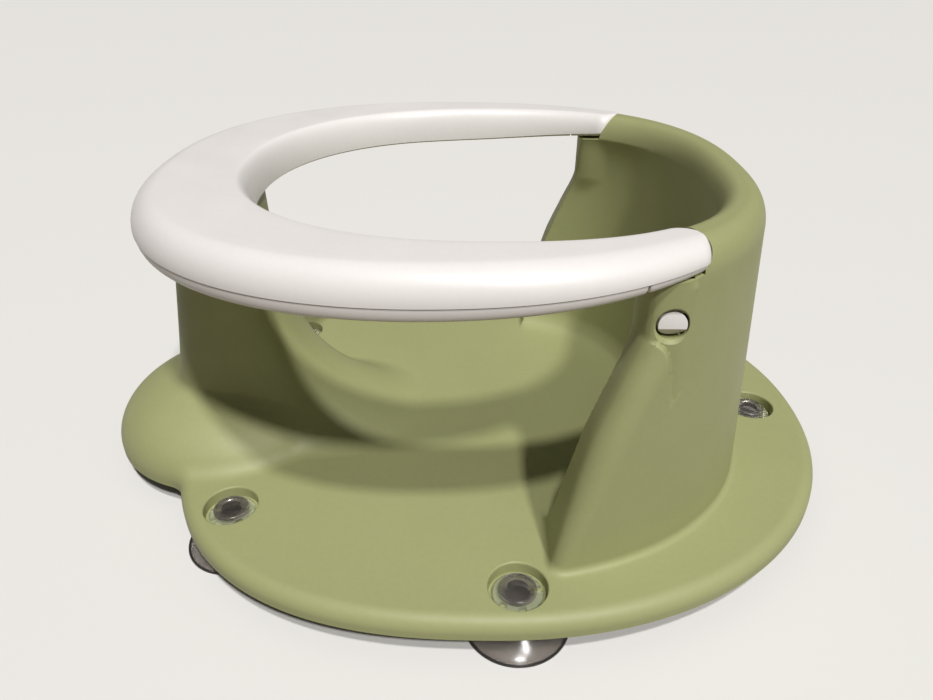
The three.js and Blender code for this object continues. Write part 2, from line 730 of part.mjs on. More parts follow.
// Seat, counterbore and hole for one screw in the plate it holds, on both sides
function screwSeat(plate, { x, y, bottom }) {
  const seat = bottom + SCREW_SEAT_DEPTH;
  const boss = uprightCylinder(x, y, SCREW_BOSS_RADIUS, bottom + 1, seat + SCREW_PLATE, SMALL_SIDES);
  const headRadius = SCREW.headRadius + RUNNING_GAP;
  const sink = uprightCylinder(x, y, headRadius, bottom - MARGIN, seat, SMALL_SIDES);
  const bore = uprightCylinder(x, y, SCREW.shankRadius + RUNNING_GAP, bottom, seat + 5, SMALL_SIDES);
  return plate.add(boss).subtract(sink).subtract(bore);
}

function ringTopCover() {
  const hollow = sweep(capSection, COVER_WALL, END_WALL_SHARE, 1 - END_WALL_SHARE);
  let cover = sweep(capSection, 0, 0, 1).subtract(hollow);
  for (const { x, y, bottom } of [...COVER_SCREWS, LEG_SCREW]) {
    const bossFoot = bottom + SCREW_SEAT_DEPTH + SCREW_PLATE + RUNNING_GAP;
    const boreTop = RING_TOP - COVER_WALL;
    const boss = uprightCylinder(x, y, SCREW_BOSS_RADIUS, bossFoot, boreTop + 1, SMALL_SIDES);
    const bore = uprightCylinder(x, y, SCREW.shankRadius + RUNNING_GAP, bottom, boreTop, SMALL_SIDES);
    const reliefRadius = SCREW_BOSS_RADIUS + RUNNING_GAP;
    const relief = uprightCylinder(x, y, reliefRadius, bottom, bossFoot, SMALL_SIDES);
    cover = cover.subtract(bothSides(relief)).add(bothSides(boss)).subtract(bothSides(bore));
  }
  return cover;
}

function ringBottomCover() {
  const from = shareAt(LEG_JOINT_Y);
  const hollowFrom = from + TRAY_WALL_SHARE;
  let cover = sweep(traySection, 0, from, 1 - from)
    .subtract(sweep(traySection, COVER_WALL, hollowFrom, 1 - hollowFrom));
  for (const spot of COVER_SCREWS) {
    cover = screwSeat(screwSeat(cover, spot), { ...spot, x: -spot.x });
  }
  return cover;
}

function screw() {
  const { shankRadius, headRadius, headHeight, length } = SCREW;
  return lathe([
    [0, 0], [headRadius * 0.8, 0], [headRadius, headHeight * 0.4], [headRadius, headHeight],
    [shankRadius, headHeight], [shankRadius, length - 1.5], [0, length],
  ], SMALL_SIDES);
}

// Legs and latch fingers, drawn on the right-hand side

function ringLeg() {
  const { halfDepth, halfWidth, foot, power } = LEG;
  const joint = shareAt(LEG_JOINT_Y + 2 * RUNNING_GAP);
  const strip = sweep(traySection, 0, STRIP_START_SHARE, joint);
  const outline = (inset, z) => (
    roundedOblong(LEG_X, POST.y, halfDepth - inset, halfWidth - inset, power, z)
  );
  const root = ringStation(shareAt(POST.y)).bottom + 2;
  const plug = loft([outline(0.8, foot), outline(0, foot + 2), outline(0, root)]);
  const pocketHalf = halfWidth - LEG_SIDE_WALL;
  const pocket = box(
    [LEG_X - halfDepth + LEG_BACK_WALL, POST.y - pocketHalf, LEG_POCKET_FLOOR],
    [LEG_X + halfDepth + 1, POST.y + pocketHalf, LEG_POCKET_TOP],
  );
  return screwSeat(strip, LEG_SCREW).add(plug).subtract(pocket);
}

// Springy finger moulded on the leg's foot, with the round head that shows in the post's hole
function latchFinger() {
  const outer = LEG_X + LEG.halfDepth;
  const half = LEG.halfWidth - LEG_SIDE_WALL - RUNNING_GAP;
  const tip = POST_FACE - LATCH_SET_BACK;
  const headBack = tip - LATCH_HEAD_DEPTH;
  const top = LATCH_HOLE_Z + LATCH_HEAD_RADIUS;
  const low = LATCH_HOLE_Z - LATCH_HEAD_RADIUS;
  const blade = box(
    [outer - FINGER_THICKNESS, POST.y - half, LEG_POCKET_FLOOR + RUNNING_GAP],
    [outer, POST.y + half, FINGER_TOP],
  );
  const neck = box([outer - 1, POST.y - half, low + 1], [headBack + 1, POST.y + half, top - 1]);
  const outline = new THREE.Shape([
    new THREE.Vector2(headBack, low),
    new THREE.Vector2(tip - LATCH_RAMP, low),
    new THREE.Vector2(tip, LATCH_HOLE_Z - LATCH_RIDGE_DROP),
    new THREE.Vector2(tip - 0.5, top),
    new THREE.Vector2(headBack, top),
  ]);
  const head = new THREE.ExtrudeGeometry(outline, { depth: 2 * LATCH_HEAD_RADIUS, bevelEnabled: false });
  head.rotateX(Math.PI / 2);
  head.translate(0, POST.y + LATCH_HEAD_RADIUS, 0);
  const length = 4 * LATCH_HEAD_DEPTH;
  const rod = new THREE.CylinderGeometry(LATCH_HEAD_RADIUS, LATCH_HEAD_RADIUS, length, ROUND_SIDES);
  rod.rotateZ(Math.PI / 2);
  rod.translate(tip, POST.y, LATCH_HOLE_Z);
  return blade.add(neck).add(toSolid(head).intersect(toSolid(rod)));
}

// Suction cups and collars

function suctionCup() {
  const shoulderZ = FLANGE_TOP - RECESS_DEPTH - RECESS_FLOOR - RUNNING_GAP;
  const collarTop = FLANGE_TOP - RECESS_DEPTH + COLLAR_HEIGHT + 2 * RUNNING_GAP;
  const knobTop = collarTop + KNOB_HEIGHT;
  return lathe([
    [0, CUP_HOLLOW], [CUP_RADIUS * 0.6, CUP_HOLLOW * 0.6], [CUP_RADIUS - CUP_LIP, 0],
    [CUP_RADIUS, 0], [CUP_RADIUS - 0.3, 1], [CUP_RADIUS * 0.76, CUP_SHOULDER_Z * 0.5],
    [CUP_SHOULDER_RADIUS, CUP_SHOULDER_Z], [CUP_SHOULDER_RADIUS, shoulderZ],
    [NECK_RADIUS, shoulderZ], [NECK_RADIUS, collarTop], [KNOB_RADIUS, collarTop],
    [KNOB_RADIUS, collarTop + KNOB_HEIGHT * 0.55], [KNOB_RADIUS - 1.2, knobTop], [0, knobTop],
  ], ROUND_SIDES);
}

function collar() {
  const low = FLANGE_TOP - RECESS_DEPTH + RUNNING_GAP;
  const high = low + COLLAR_HEIGHT;
  const ring = uprightCylinder(0, 0, COLLAR_RADIUS, low, high, ROUND_SIDES)
    .subtract(uprightCylinder(0, 0, NECK_RADIUS + RUNNING_GAP, low - 1, high + 1, ROUND_SIDES));
  const split = box([-COLLAR_SPLIT / 2, 0, low - 1], [COLLAR_SPLIT / 2, COLLAR_RADIUS + 2, high + 1]);
  return ring.subtract(split);
}

// Assembly

const seat = new THREE.Group();

function addPiece(name, body, material, position = [0, 0, 0], turn = 0) {
  const mesh = new THREE.Mesh(toGeometry(body), material);
  mesh.name = name;
  mesh.position.set(...position);
  mesh.rotation.z = turn;
  seat.add(mesh);
}

addPiece('body_shell', shell(), GREEN);
addPiece('ring_top_cover', ringTopCover(), WHITE);
addPiece('ring_bottom_cover', ringBottomCover(), WHITE);
addPiece('ring_leg_right', ringLeg(), WHITE);
addPiece('ring_leg_left', mirrored(ringLeg()), WHITE);
addPiece('latch_button_right', latchFinger(), WHITE);
addPiece('latch_button_left', mirrored(latchFinger()), WHITE);

function addScrews(name, { x, y, bottom }) {
  const z = bottom + SCREW_SEAT_DEPTH - SCREW.headHeight - RUNNING_GAP / 2;
  addPiece(`${name}_right`, screw(), STEEL, [x, y, z]);
  addPiece(`${name}_left`, screw(), STEEL, [-x, y, z]);
}

COVER_SCREWS.forEach((spot, index) => addScrews(`ring_screw_${index + 1}`, spot));
addScrews('leg_screw', LEG_SCREW);

for (const [name, [x, y]] of Object.entries(CUP_PLACES)) {
  const turn = Math.atan2(y, x);
  addPiece(`suction_cup_${name}`, suctionCup(), CLEAR, [x, y, 0]);
  addPiece(`cup_collar_${name}`, collar(), GLOSSY, [x, y, 0], turn);
}

export default seat;
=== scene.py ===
"""Dresses the baby bath seat: a green moulded shell, a white safety ring, latch buttons and suction cups.

Lengths are in millimetres until a mesh is finished, and a finished mesh is in metres.
The front of the seat points towards -Y, and +Z is up.
"""
import json
import math

import bpy
import numpy as np
from mathutils import Matrix, Vector


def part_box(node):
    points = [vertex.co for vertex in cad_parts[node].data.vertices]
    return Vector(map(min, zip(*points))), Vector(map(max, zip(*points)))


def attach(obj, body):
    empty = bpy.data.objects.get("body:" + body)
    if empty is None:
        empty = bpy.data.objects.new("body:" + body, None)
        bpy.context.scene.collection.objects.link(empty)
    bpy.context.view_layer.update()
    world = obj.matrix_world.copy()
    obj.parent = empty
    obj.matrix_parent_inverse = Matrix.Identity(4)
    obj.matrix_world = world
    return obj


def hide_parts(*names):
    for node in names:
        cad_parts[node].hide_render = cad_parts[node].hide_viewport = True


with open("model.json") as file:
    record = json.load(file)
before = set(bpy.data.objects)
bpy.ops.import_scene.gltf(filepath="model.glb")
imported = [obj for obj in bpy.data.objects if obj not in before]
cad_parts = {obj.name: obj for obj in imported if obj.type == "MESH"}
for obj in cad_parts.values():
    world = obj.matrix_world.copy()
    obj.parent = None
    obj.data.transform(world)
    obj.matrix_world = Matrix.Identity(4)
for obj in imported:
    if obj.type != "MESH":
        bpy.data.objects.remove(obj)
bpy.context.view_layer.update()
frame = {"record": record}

MM = 0.001
SIDES = ("right", "left")
CUP_NAMES = ("front_right", "front_left", "side_right", "side_left", "rear")
SCREW_KINDS = ("ring_screw_1", "ring_screw_2", "ring_screw_3", "leg_screw")
SCREW_NAMES = tuple(f"{kind}_{side}" for kind in SCREW_KINDS for side in SIDES)

# Reach of cutters past what they cut, far and near, and overlap of pieces that are joined
FAR_OUT = 260.0
OVERCUT = 8.0
OVERLAP = 1.0

# Camera, solved from the outline of the seat
CAMERA_PLACE = (0.33353, 0.00819, 0.25976)
CAMERA_LENS = 27.75
SENSOR_WIDTH = 36.0
CAMERA_PITCH = 31.26
CAMERA_YAW = 0.67
CAMERA_ROLL = -0.11

# Floor, backdrop and lamps; a lamp's direction points from the seat to it, and its width is in degrees
FLOOR_HALF_SIDE = 6.0
FLOOR_ROUGHNESS = 0.7
FLOOR_COLOUR = (0.76, 0.75, 0.74)
BACKDROP_COLOUR = (0.9, 0.9, 0.9)
BOUNCE_COLOUR = (0.15, 0.12, 0.08)
FILL_COLOUR = (1.0, 0.96, 0.86)
FILL_STRENGTH = 0.11
LAMP_WIDTH = 4.0
LAMPS = {
    "main lamp": {"direction": (0.7, 0.35, 1.0), "strength": 1.95, "colour": (1.0, 0.985, 0.96)},
    "second lamp": {"direction": (0.42, 0.1, 1.0), "strength": 1.75, "colour": (1.0, 0.99, 0.97)},
}

# Finishes of the material slots: the tone scales the record's colour, and grain sizes are in metres
FINISHES = {
    "shell": {
        "name": "sage green plastic", "tone": (0.82, 0.78, 0.72), "roughness": 0.56, "inputs": {},
        "look": {"Flow Tone": 0.025, "Patches": 0.05, "Grain Size": 0.0007, "Grain Depth": 0.00006},
    },
    "ring": {
        "name": "warm white plastic", "tone": (1.0, 1.0, 1.0), "roughness": 0.42, "inputs": {},
        "look": {"Flow Tone": 0.015, "Patches": 0.06, "Grain Size": 0.0012, "Grain Depth": 0.00003},
    },
    "cups": {
        "name": "smoky clear vinyl", "tone": (2.1, 2.05, 2.05), "roughness": 0.2,
        "inputs": {"Transmission Weight": 0.95, "IOR": 1.45},
        "look": {"Flow Tone": 0.06, "Patches": 0.08, "Grain Size": 0.002, "Grain Depth": 0.00004},
    },
    "collars": {
        "name": "clear collar plastic", "tone": (1.5, 1.5, 1.5), "roughness": 0.12,
        "inputs": {"Transmission Weight": 0.85, "IOR": 1.49},
        "look": {"Flow Tone": 0.015, "Patches": 0.06, "Grain Size": 0.0012, "Grain Depth": 0.00003},
    },
    "screws": {
        "name": "plain steel", "tone": (1.0, 1.0, 1.0), "roughness": 0.34, "inputs": {"Metallic": 1.0},
        "look": {"Flow Tone": 0.05, "Patches": 0.1, "Grain Size": 0.0004, "Grain Depth": 0.00003},
    },
}
FLOW_NOISE = {"scale": 14.0, "detail": 3.0}
SPECK_NOISE = {"scale": 420.0, "detail": 2.0}
SPECK_SHARE = 0.6
PATCH_NOISE = {"scale": 38.0, "detail": 4.0}
GRAIN_DETAIL = 2.0
GRAIN_STRENGTH = 0.5
NOISE_MIDDLE = (0.3, 0.7)

# Shell: base plate, front lobe and pillar
GAP = 0.3
WALL = 2.6
PLATE_TOP = 22.0
SKIRT_FOOT = 12.5
PLATE_EDGE_ROUND = 6.5
PLATE = {"centre": 16.0, "half_width": 149.0, "front": 161.5, "rear": 174.0}
PLATE_POWER = {"front": 2.5, "rear": 2.1}
LOBE_RADIUS = 63.5
LOBE_Y = -125.0
LOBE_TOP = 50.0
LOBE_DOME = 34.5
LOBE_BLEND = 6.0
PILLAR_FRONT_Y = -140.4
PILLAR_LEAN = 0.157
PILLAR_LEAN_FROM = 108.0
PILLAR_BACK_Y = -85.0
PILLAR_HALF_WIDTH = 25.0
PILLAR_POWER = 2.8
PILLAR_BLEND = 6.0
FOOT_SPREAD = 24.0
FOOT_SPREAD_BELOW = 8.0
FOOT_FORWARD = {"reach": 0.2, "fades_over": 12.0}
FOOT_SIDEWAYS = {"reach": 0.84, "fades_over": 18.0}
FOOT_REARWARD = {"reach": 2.85, "fades_over": 28.0, "draw": 0.45}

# Shell: backrest with its rim and well
RIM_TOP = 161.5
RIM_SHOULDER_DROP = 12.7
RIM_OUTER_ROUND = 12.0
RIM_INNER_ROUND = 8.0
RIM_WIDTH_LIMITS = (6.0, 60.0)
OUTER_ROUND_SHARE = 0.45
INNER_ROUND_SHARE = 0.4
REST = {"centre": -6.0, "half_width": 126.8, "rear": 142.0}
REST_POWER = 2.35
REST_FLARE_SIDE = 1.0
REST_FLARE_BACK = 9.5
REST_FOOT = 30.0
OPEN_FRONT = 200.0
FOOT_FILLET = 3.0
WELL = {"centre": 11.5, "half_width": 94.0, "rear": 104.5}
WELL_POWER = 2.6
WELL_BELLY = {"out": 8.0, "at": 0.55, "lost_at_foot": 0.65, "lower_power": 2, "upper_power": 4}
WELL_DRAW = {"in": 12.0, "power": 1.5}
WELL_FLOOR_ROUND = 12.0
FRONT_EDGE = ((20, 39.5), (50, 46.0), (82, 53.5), (104, 61.5), (123, 68.8), (127, 69.8), (170, 70.0))
FRONT_EDGE_ROUND = 1.5
NOSE_ROUND = ((22, 8.0), (80, 14.0), (126, 15.0))

# Shell: posts that take the ring's legs. By height, the points give the front and back edges of the flat
# outer face, the inner face, and how far the outer face stands out of the backrest.
POST_PROUD = -1.6
POST_Y = 80.3
POST_WALL = 2.4
POST_FRONT = ((98, 84.2), (109, 81.9), (119.5, 80.1), (123.7, 77.6), (126.2, 72.8), (129, 68.8), (134, 66.0))
POST_BACK = ((98, 84.5), (104, 86.5), (114, 87.6), (132, 87.2), (151, 87.8))
POST_INNER_FACE = ((96, 97.5), (112, 94.5), (126, 87.0), (140, 85.2), (151, 85.2))
POST_STANDS_OUT = ((98, -0.6), (112, 0.3), (128, 1.2), (151, 2.0))
POST_FACE_ROUND = 4.0
POST_COLUMN = {"y": 79.5, "half_width": 9.5, "power": 2.4, "blend": 6.0, "behind_face": 5.0}
POST_EDGE_ROUND = 2.0
POST_FRONT_ROUND = 8.0
POST_TOP_ROUND = 4.5
POST_BLEND = 0.7
FACET_BLEND = 1.4
POST_SOLID = {"half_depth": 12.5, "from_x": 82.0, "from_z": 92.0}
LATCH_HOLE_RADIUS = 6.2
LATCH_HOLE_DEPTH = 8.0
LATCH_HOLE_Z = 132.1
LATCH_CHAMFER = 1.3

# Safety ring
RING_OUTER = {"front": 137.0, "front_power": 2.25}
RING_INNER = {"front": 104.5, "front_power": 2.2}
RING_TOP = 162.0
RING_SEAM = 149.3
RING_BOTTOM = 143.5
SEAM_RISE = 4.7
BOTTOM_RISE = 7.5
RISE_START_Y = -20.0
RISE_END_Y = 90.0
RING_END = {"outer": 94.0, "inner": 84.0}
RING_CUT_END_Y = 118.0
JOINT_Y = 65.5
SEAM_STEP = 0.4
TRAY_ROUND = 2.4
TRAY_INNER_ROUND = 12.0
SEAM_GAP = 0.3
SEAM_DROP = 4.0
RING_EDGE_ROUND = 0.8
RING_INNER_ROUND = 6.5
RING_CORNER = {"outer": 5.0, "inner": 9.0}

# Layout of a cover's section and of its closed ends
SECTION_SIDE_SHARE = 0.44
END_STATIONS = 6
LEAST_SHARE = 0.05
MERGE_DISTANCE = 0.004

# Legs, latch fingers and latch heads
LEG_BEHIND_FACE = 11.5
LEG_HALF_DEPTH = 3.2
LEG_HALF_WIDTH = 6.0
LEG_POWER = 6.0
LEG_FOOT = 107.0
LEG_TAPER = ((0.0, 0.9), (0.5, 0.5), (2.0, 0.0))
LEG_ROOT = 151.0
LEG_BACK_WALL = 1.4
LEG_SIDE_WALL = 1.5
LEG_POCKET = (110.0, 146.0)
SOCKET_GAP = 0.4
LATCH_RADIUS = 5.3
LATCH_DEPTH = 4.6
LATCH_SET_BACK = 0.8
LATCH_RAMP = 3.4
LATCH_TOP_RAMP = 0.5
LATCH_RIDGE_DROP = 1.4
LATCH_ROD = (-20.0, 5.0)
LATCH_EDGE_ROUND = 0.35
FINGER_THICKNESS = 1.8
FINGER_TOP = 141.0

# Screws
SCREW_HEAD_RADIUS = 2.9
SCREW_HEAD_HEIGHT = 2.0
SCREW_HEAD_CROWN = ((0.62, 0.0), (0.85, 0.2), (0.97, 0.6), (1.0, 1.1))
SCREW_CROSS = {"half_length": 1.7, "half_width": 0.4, "depth": 1.1}
SCREW_SHANK_RADIUS = 1.5
SCREW_LENGTH = 9.5
SCREW_TIP = 1.4
THREAD_START = 0.2
THREAD_PITCH = 0.8
THREAD_DEPTH = 0.25

# Recesses, cups and collars
RECESS_RADIUS = 12.5
RECESS_DEPTH = 6.0
RECESS_EDGE_ROUND = 1.0
RECESS_BORE_FROM = 5.0
NECK_GAP = 0.5
CUP_RADIUS = 23.0
CUP_LIP = {"width": 1.6, "round": 0.5, "inset": 0.2, "top": 1.2}
CUP_HOLLOW = {"depth": 5.6, "power": 1.7, "places": (0.25, 0.45, 0.62, 0.78, 0.9, 1)}
CUP_BELL = {"foot_out": 0.6, "foot_down": 0.4, "power": 1.25, "steps": 8}
CUP_SHOULDER = {"radius": 9.0, "low": 11.0, "high": 13.1, "round": 0.5}
NECK_RADIUS = 5.2
KNOB = {"radius": 8.2, "low": 18.5, "high": 21.1, "round": 1.3, "foot_inset": 0.4}
KNOB_DISC = {"radius": 4.6, "sunk": 0.4, "slant": 0.4}
COLLAR_RADIUS = 10.6
COLLAR = {"low": 16.3, "high": 18.2, "edge": 0.4}
COLLAR_SPLIT = 3.0
COLLAR_NOTCH = {"from_radius": 7.9, "width": 3.0, "directions": (0.0, -55.0)}
KEY_POCKET = {"radii": (10.4, 13.4), "width": 3.0, "heights": (14.6, 17.6), "directions": (-30.0, 0.0, 60.0)}

# Fineness, and the room that the shell is worked out in
GRID_STEP = 1.5
HOLLOW_STEP = 3.0
SHELL_TRIANGLES = 110000
HOLLOW_TRIANGLES = 30000
STEEPNESS_LIMITS = (0.3, 3.0)
SHELL_ROOM = {"half_width": 156.0, "low": (-196.0, 4.0), "high": (196.0, 166.0)}
BELOW_SKIRT = {"half_width": 200.0, "half_length": 250.0, "from": -20.0}
COVER_FINENESS = {"stations": 320, "points": 50}
TRAY_FINENESS = {"stations": 260, "points": 26}
STRIP_FINENESS = {"stations": 60, "points": 26}
FINE_SIDES = 72
BORE_SIDES = 64
SCREW_HOLE_SIDES = 32
SCREW_SIDES = 24
SHARP_ANGLE = 35.0
RING_SHARP_ANGLE = 40.0
BEVEL_ANGLE = 30.0

# A corner of the cut shell takes the form's normal where it lies on the skin and its face looks the same way
SKIN_REACH = 0.05
SKIN_ANGLE = 28.0


# Curves and forms

def smooth_through(points, at):
    """A smooth curve through a few (place, value) points, without overshoot."""
    places = np.array([point[0] for point in points], float)
    values = np.array([point[1] for point in points], float)
    step = np.diff(places)
    slope = np.diff(values) / step
    before = slope[:-1]
    after = slope[1:]
    inner = np.where(before * after > 0, 2 * before * after / (before + after + 1e-12), 0)
    tangent = np.concatenate(([slope[0]], inner, [slope[-1]]))
    at = np.clip(at, places[0], places[-1])
    index = np.clip(np.searchsorted(places, at, side="right") - 1, 0, len(step) - 1)
    t = (at - places[index]) / step[index]
    rise = t * t * (3 - 2 * t)
    start = t * (1 - t) ** 2 * step[index] * tangent[index]
    end = -t * t * (1 - t) * step[index] * tangent[index + 1]
    return values[index] + (values[index + 1] - values[index]) * rise + start + end


def oval_distance(x, y, half_x, half_y, power):
    """About how far a point lies outside an oval about the origin; it is below 0 inside."""
    a = np.abs(x) / half_x
    b = np.abs(y) / half_y
    size = np.maximum(a ** power + b ** power, 1e-9) ** (1 / power)
    slope = size ** (1 - power) * np.hypot(a ** (power - 1) / half_x, b ** (power - 1) / half_y)
    return (size - 1) / np.maximum(slope, 1e-9)


def rounded_max(first, second, first_round, second_round=None):
    """Where two forms overlap, with the edge between them rounded."""
    if second_round is not None:
        second = second * first_round / second_round
    u = first + first_round
    v = second + first_round
    outside = np.hypot(np.maximum(u, 0), np.maximum(v, 0))
    return np.minimum(np.maximum(u, v), 0) + outside - first_round


def smooth_union(first, second, blend):
    near = np.maximum(blend - np.abs(first - second), 0) / blend
    return np.minimum(first, second) - near * near * blend / 4


def smooth_cut(form, cutter, blend):
    return -smooth_union(-form, cutter, blend)


def fillet_union(first, second, radius):
    """Both forms, with a hollow round of that radius where they meet."""
    corner = np.hypot(np.maximum(radius - first, 0), np.maximum(radius - second, 0))
    return np.maximum(np.minimum(first, second), radius) - corner


def edge_y(z):
    return smooth_through(FRONT_EDGE, z)


def ring_rise(y):
    return (np.maximum(0, (y - RISE_START_Y) / (RISE_END_Y - RISE_START_Y))) ** 2


def outline_x(oval, power, y):
    """Half width of an oval outline at a place behind its middle."""
    return oval["half_width"] * (1 - (abs(y - oval["centre"]) / oval["rear"]) ** power) ** (1 / power)


def under_ring(y):
    """Top of what stands under the ring, a gap below it."""
    return RING_BOTTOM + BOTTOM_RISE * ring_rise(y) - GAP


POST_FACE = outline_x(REST, REST_POWER, POST_Y) + POST_PROUD
LEG_X = POST_FACE - LEG_BEHIND_FACE


def plate_form(x, y, z):
    ahead = y < PLATE["centre"]
    power = np.where(ahead, PLATE_POWER["front"], PLATE_POWER["rear"])
    reach = np.where(ahead, PLATE["front"], PLATE["rear"])
    outline = oval_distance(x, y - PLATE["centre"], PLATE["half_width"], reach, power)
    return rounded_max(outline, z - PLATE_TOP, PLATE_EDGE_ROUND)


def lobe_form(x, y, z):
    outline = np.hypot(x, y - LOBE_Y) - LOBE_RADIUS
    return rounded_max(outline, z - LOBE_TOP, LOBE_RADIUS, LOBE_DOME)


def pillar_form(x, y, z):
    height = np.maximum(z - PLATE_TOP, -FOOT_SPREAD_BELOW)
    forward, sideways, rearward = (
        spread["reach"] * np.exp(-height / spread["fades_over"])
        for spread in (FOOT_FORWARD, FOOT_SIDEWAYS, FOOT_REARWARD)
    )
    low = PILLAR_FRONT_Y + PILLAR_LEAN * (z - PILLAR_LEAN_FROM) - forward * FOOT_SPREAD
    high = PILLAR_BACK_Y + (rearward - FOOT_REARWARD["draw"]) * FOOT_SPREAD
    half_width = PILLAR_HALF_WIDTH + sideways * FOOT_SPREAD
    outline = oval_distance(x, y - (low + high) / 2, half_width, (high - low) / 2, PILLAR_POWER)
    return np.maximum(outline, z - RING_TOP)


def well_outline(x, y, z):
    share = np.clip((z - PLATE_TOP) / (RIM_TOP - RIM_SHOULDER_DROP - PLATE_TOP), 0, 1)
    widest = WELL_BELLY["at"]
    below = 1 - WELL_BELLY["lost_at_foot"] * (1 - share / widest) ** WELL_BELLY["lower_power"]
    above = 1 - ((share - widest) / (1 - widest)) ** WELL_BELLY["upper_power"]
    half_width = WELL["half_width"] + WELL_BELLY["out"] * np.where(share < widest, below, above)
    rear = WELL["rear"] - WELL_DRAW["in"] * (1 - share) ** WELL_DRAW["power"]
    reach = np.where(y < WELL["centre"], OPEN_FRONT, rear)
    return oval_distance(x, y - WELL["centre"], half_width, reach, WELL_POWER)


def rest_outline(x, y, z):
    share = np.clip((z - REST_FOOT) / (RIM_TOP - RIM_SHOULDER_DROP - REST_FOOT), 0, 1)
    half_width = REST["half_width"] + REST_FLARE_SIDE * (1 - share)
    rear = REST["rear"] + REST_FLARE_BACK * (1 - share)
    reach = np.where(y < REST["centre"], OPEN_FRONT, rear)
    return oval_distance(x, y - REST["centre"], half_width, reach, REST_POWER)


def wall_form(x, y, z):
    outer = rest_outline(x, y, z)
    well = well_outline(x, y, z)
    width = np.clip(well - outer, *RIM_WIDTH_LIMITS)
    above = z - RIM_TOP
    outer_round = np.minimum(RIM_OUTER_ROUND, OUTER_ROUND_SHARE * width)
    outer_part = rounded_max(outer, above, outer_round, RIM_SHOULDER_DROP)
    inner = -rounded_max(well, PLATE_TOP - FOOT_FILLET - z, WELL_FLOOR_ROUND + FOOT_FILLET)
    inner_round = np.minimum(RIM_INNER_ROUND, INNER_ROUND_SHARE * width)
    inner_part = rounded_max(inner, above, inner_round, RIM_SHOULDER_DROP)
    ahead = edge_y(z) - y
    outer_part = rounded_max(outer_part, ahead, smooth_through(NOSE_ROUND, z))
    return rounded_max(np.maximum(outer_part, inner_part), ahead, FRONT_EDGE_ROUND)


def post_sides(y, z):
    """Seen from the side, the post's flat face: a front and a back edge that meet in a point below."""
    side = np.maximum(smooth_through(POST_FRONT, z) - y, y - smooth_through(POST_BACK, z))
    return np.maximum(side, POST_FRONT[0][0] - z)


def post_face_form(x, y, z):
    """The post's outer part, with its flat face."""
    skin = rest_outline(x, y, z) - smooth_through(POST_STANDS_OUT, z)
    face = rounded_max(x - POST_FACE, skin, POST_FACE_ROUND)
    post = rounded_max(post_sides(y, z), face, POST_EDGE_ROUND)
    post = rounded_max(post, edge_y(z) - y, POST_FRONT_ROUND)
    post = np.maximum(post, POST_FACE - 2 * POST_FRONT_ROUND - x)
    return rounded_max(post, z - under_ring(y) - GAP, POST_TOP_ROUND)


def post_column_form(x, y, z):
    """The post's inner part: a round column that grows out of the wall."""
    inner = smooth_through(POST_INNER_FACE, z)
    outer = POST_FACE - POST_COLUMN["behind_face"]
    middle = (inner + outer) / 2
    half_width = POST_COLUMN["half_width"]
    column = oval_distance(x - middle, y - POST_COLUMN["y"], outer - middle, half_width, POST_COLUMN["power"])
    column = np.maximum(column, rest_outline(x, y, z) + POST_COLUMN["blend"])
    return np.maximum(column, np.maximum(POST_INNER_FACE[0][0] - z, z - under_ring(y) - GAP))


def post_facet(x, y, z):
    """What the post's flat face takes off where the wall stands outside it."""
    side = np.maximum(post_sides(y, z), z - RING_BOTTOM - BOTTOM_RISE)
    return np.maximum(side, POST_FACE - x)


def shell_form(x, y, z):
    """The shell's whole outer form, drawn for both sides, as a distance that is below 0 inside."""
    x = np.abs(x)
    form = smooth_union(plate_form(x, y, z), lobe_form(x, y, z), LOBE_BLEND)
    form = smooth_union(form, pillar_form(x, y, z), PILLAR_BLEND)
    form = fillet_union(form, wall_form(x, y, z), FOOT_FILLET)
    form = smooth_union(form, post_column_form(x, y, z), POST_COLUMN["blend"])
    form = smooth_union(form, post_face_form(x, y, z), POST_BLEND)
    return smooth_cut(form, post_facet(x, y, z), FACET_BLEND)


# Skins of forms

def grid_axes(low, high, step):
    axes = [np.arange(a, b + step, step) for a, b in zip(low, high)]
    return np.meshgrid(*axes, indexing="ij", sparse=True)


def mirrored_grid(form, half_width, low, high, step):
    """Values of a form that is alike on both sides, worked out for one side."""
    x, y, z = grid_axes((0, low[0], low[1]), (half_width, high[0], high[1]), step)
    values = form(x, y, z)
    both = np.concatenate((values[:0:-1], values))
    origin = np.array((-x[-1, 0, 0], y[0, 0, 0], z[0, 0, 0]))
    return both, origin


def close_border(values):
    """Marks the outermost layer as outside, so that the skin closes there."""
    for axis in range(3):
        for end in (0, -1):
            layer = [slice(None)] * 3
            layer[axis] = end
            values[tuple(layer)] = np.maximum(values[tuple(layer)], 1)
    return values


CORNERS = [(i, j, k) for i in (0, 1) for j in (0, 1) for k in (0, 1)]
EDGES = [(a, b) for a in range(8) for b in range(a + 1, 8) if bin(a ^ b).count("1") == 1]


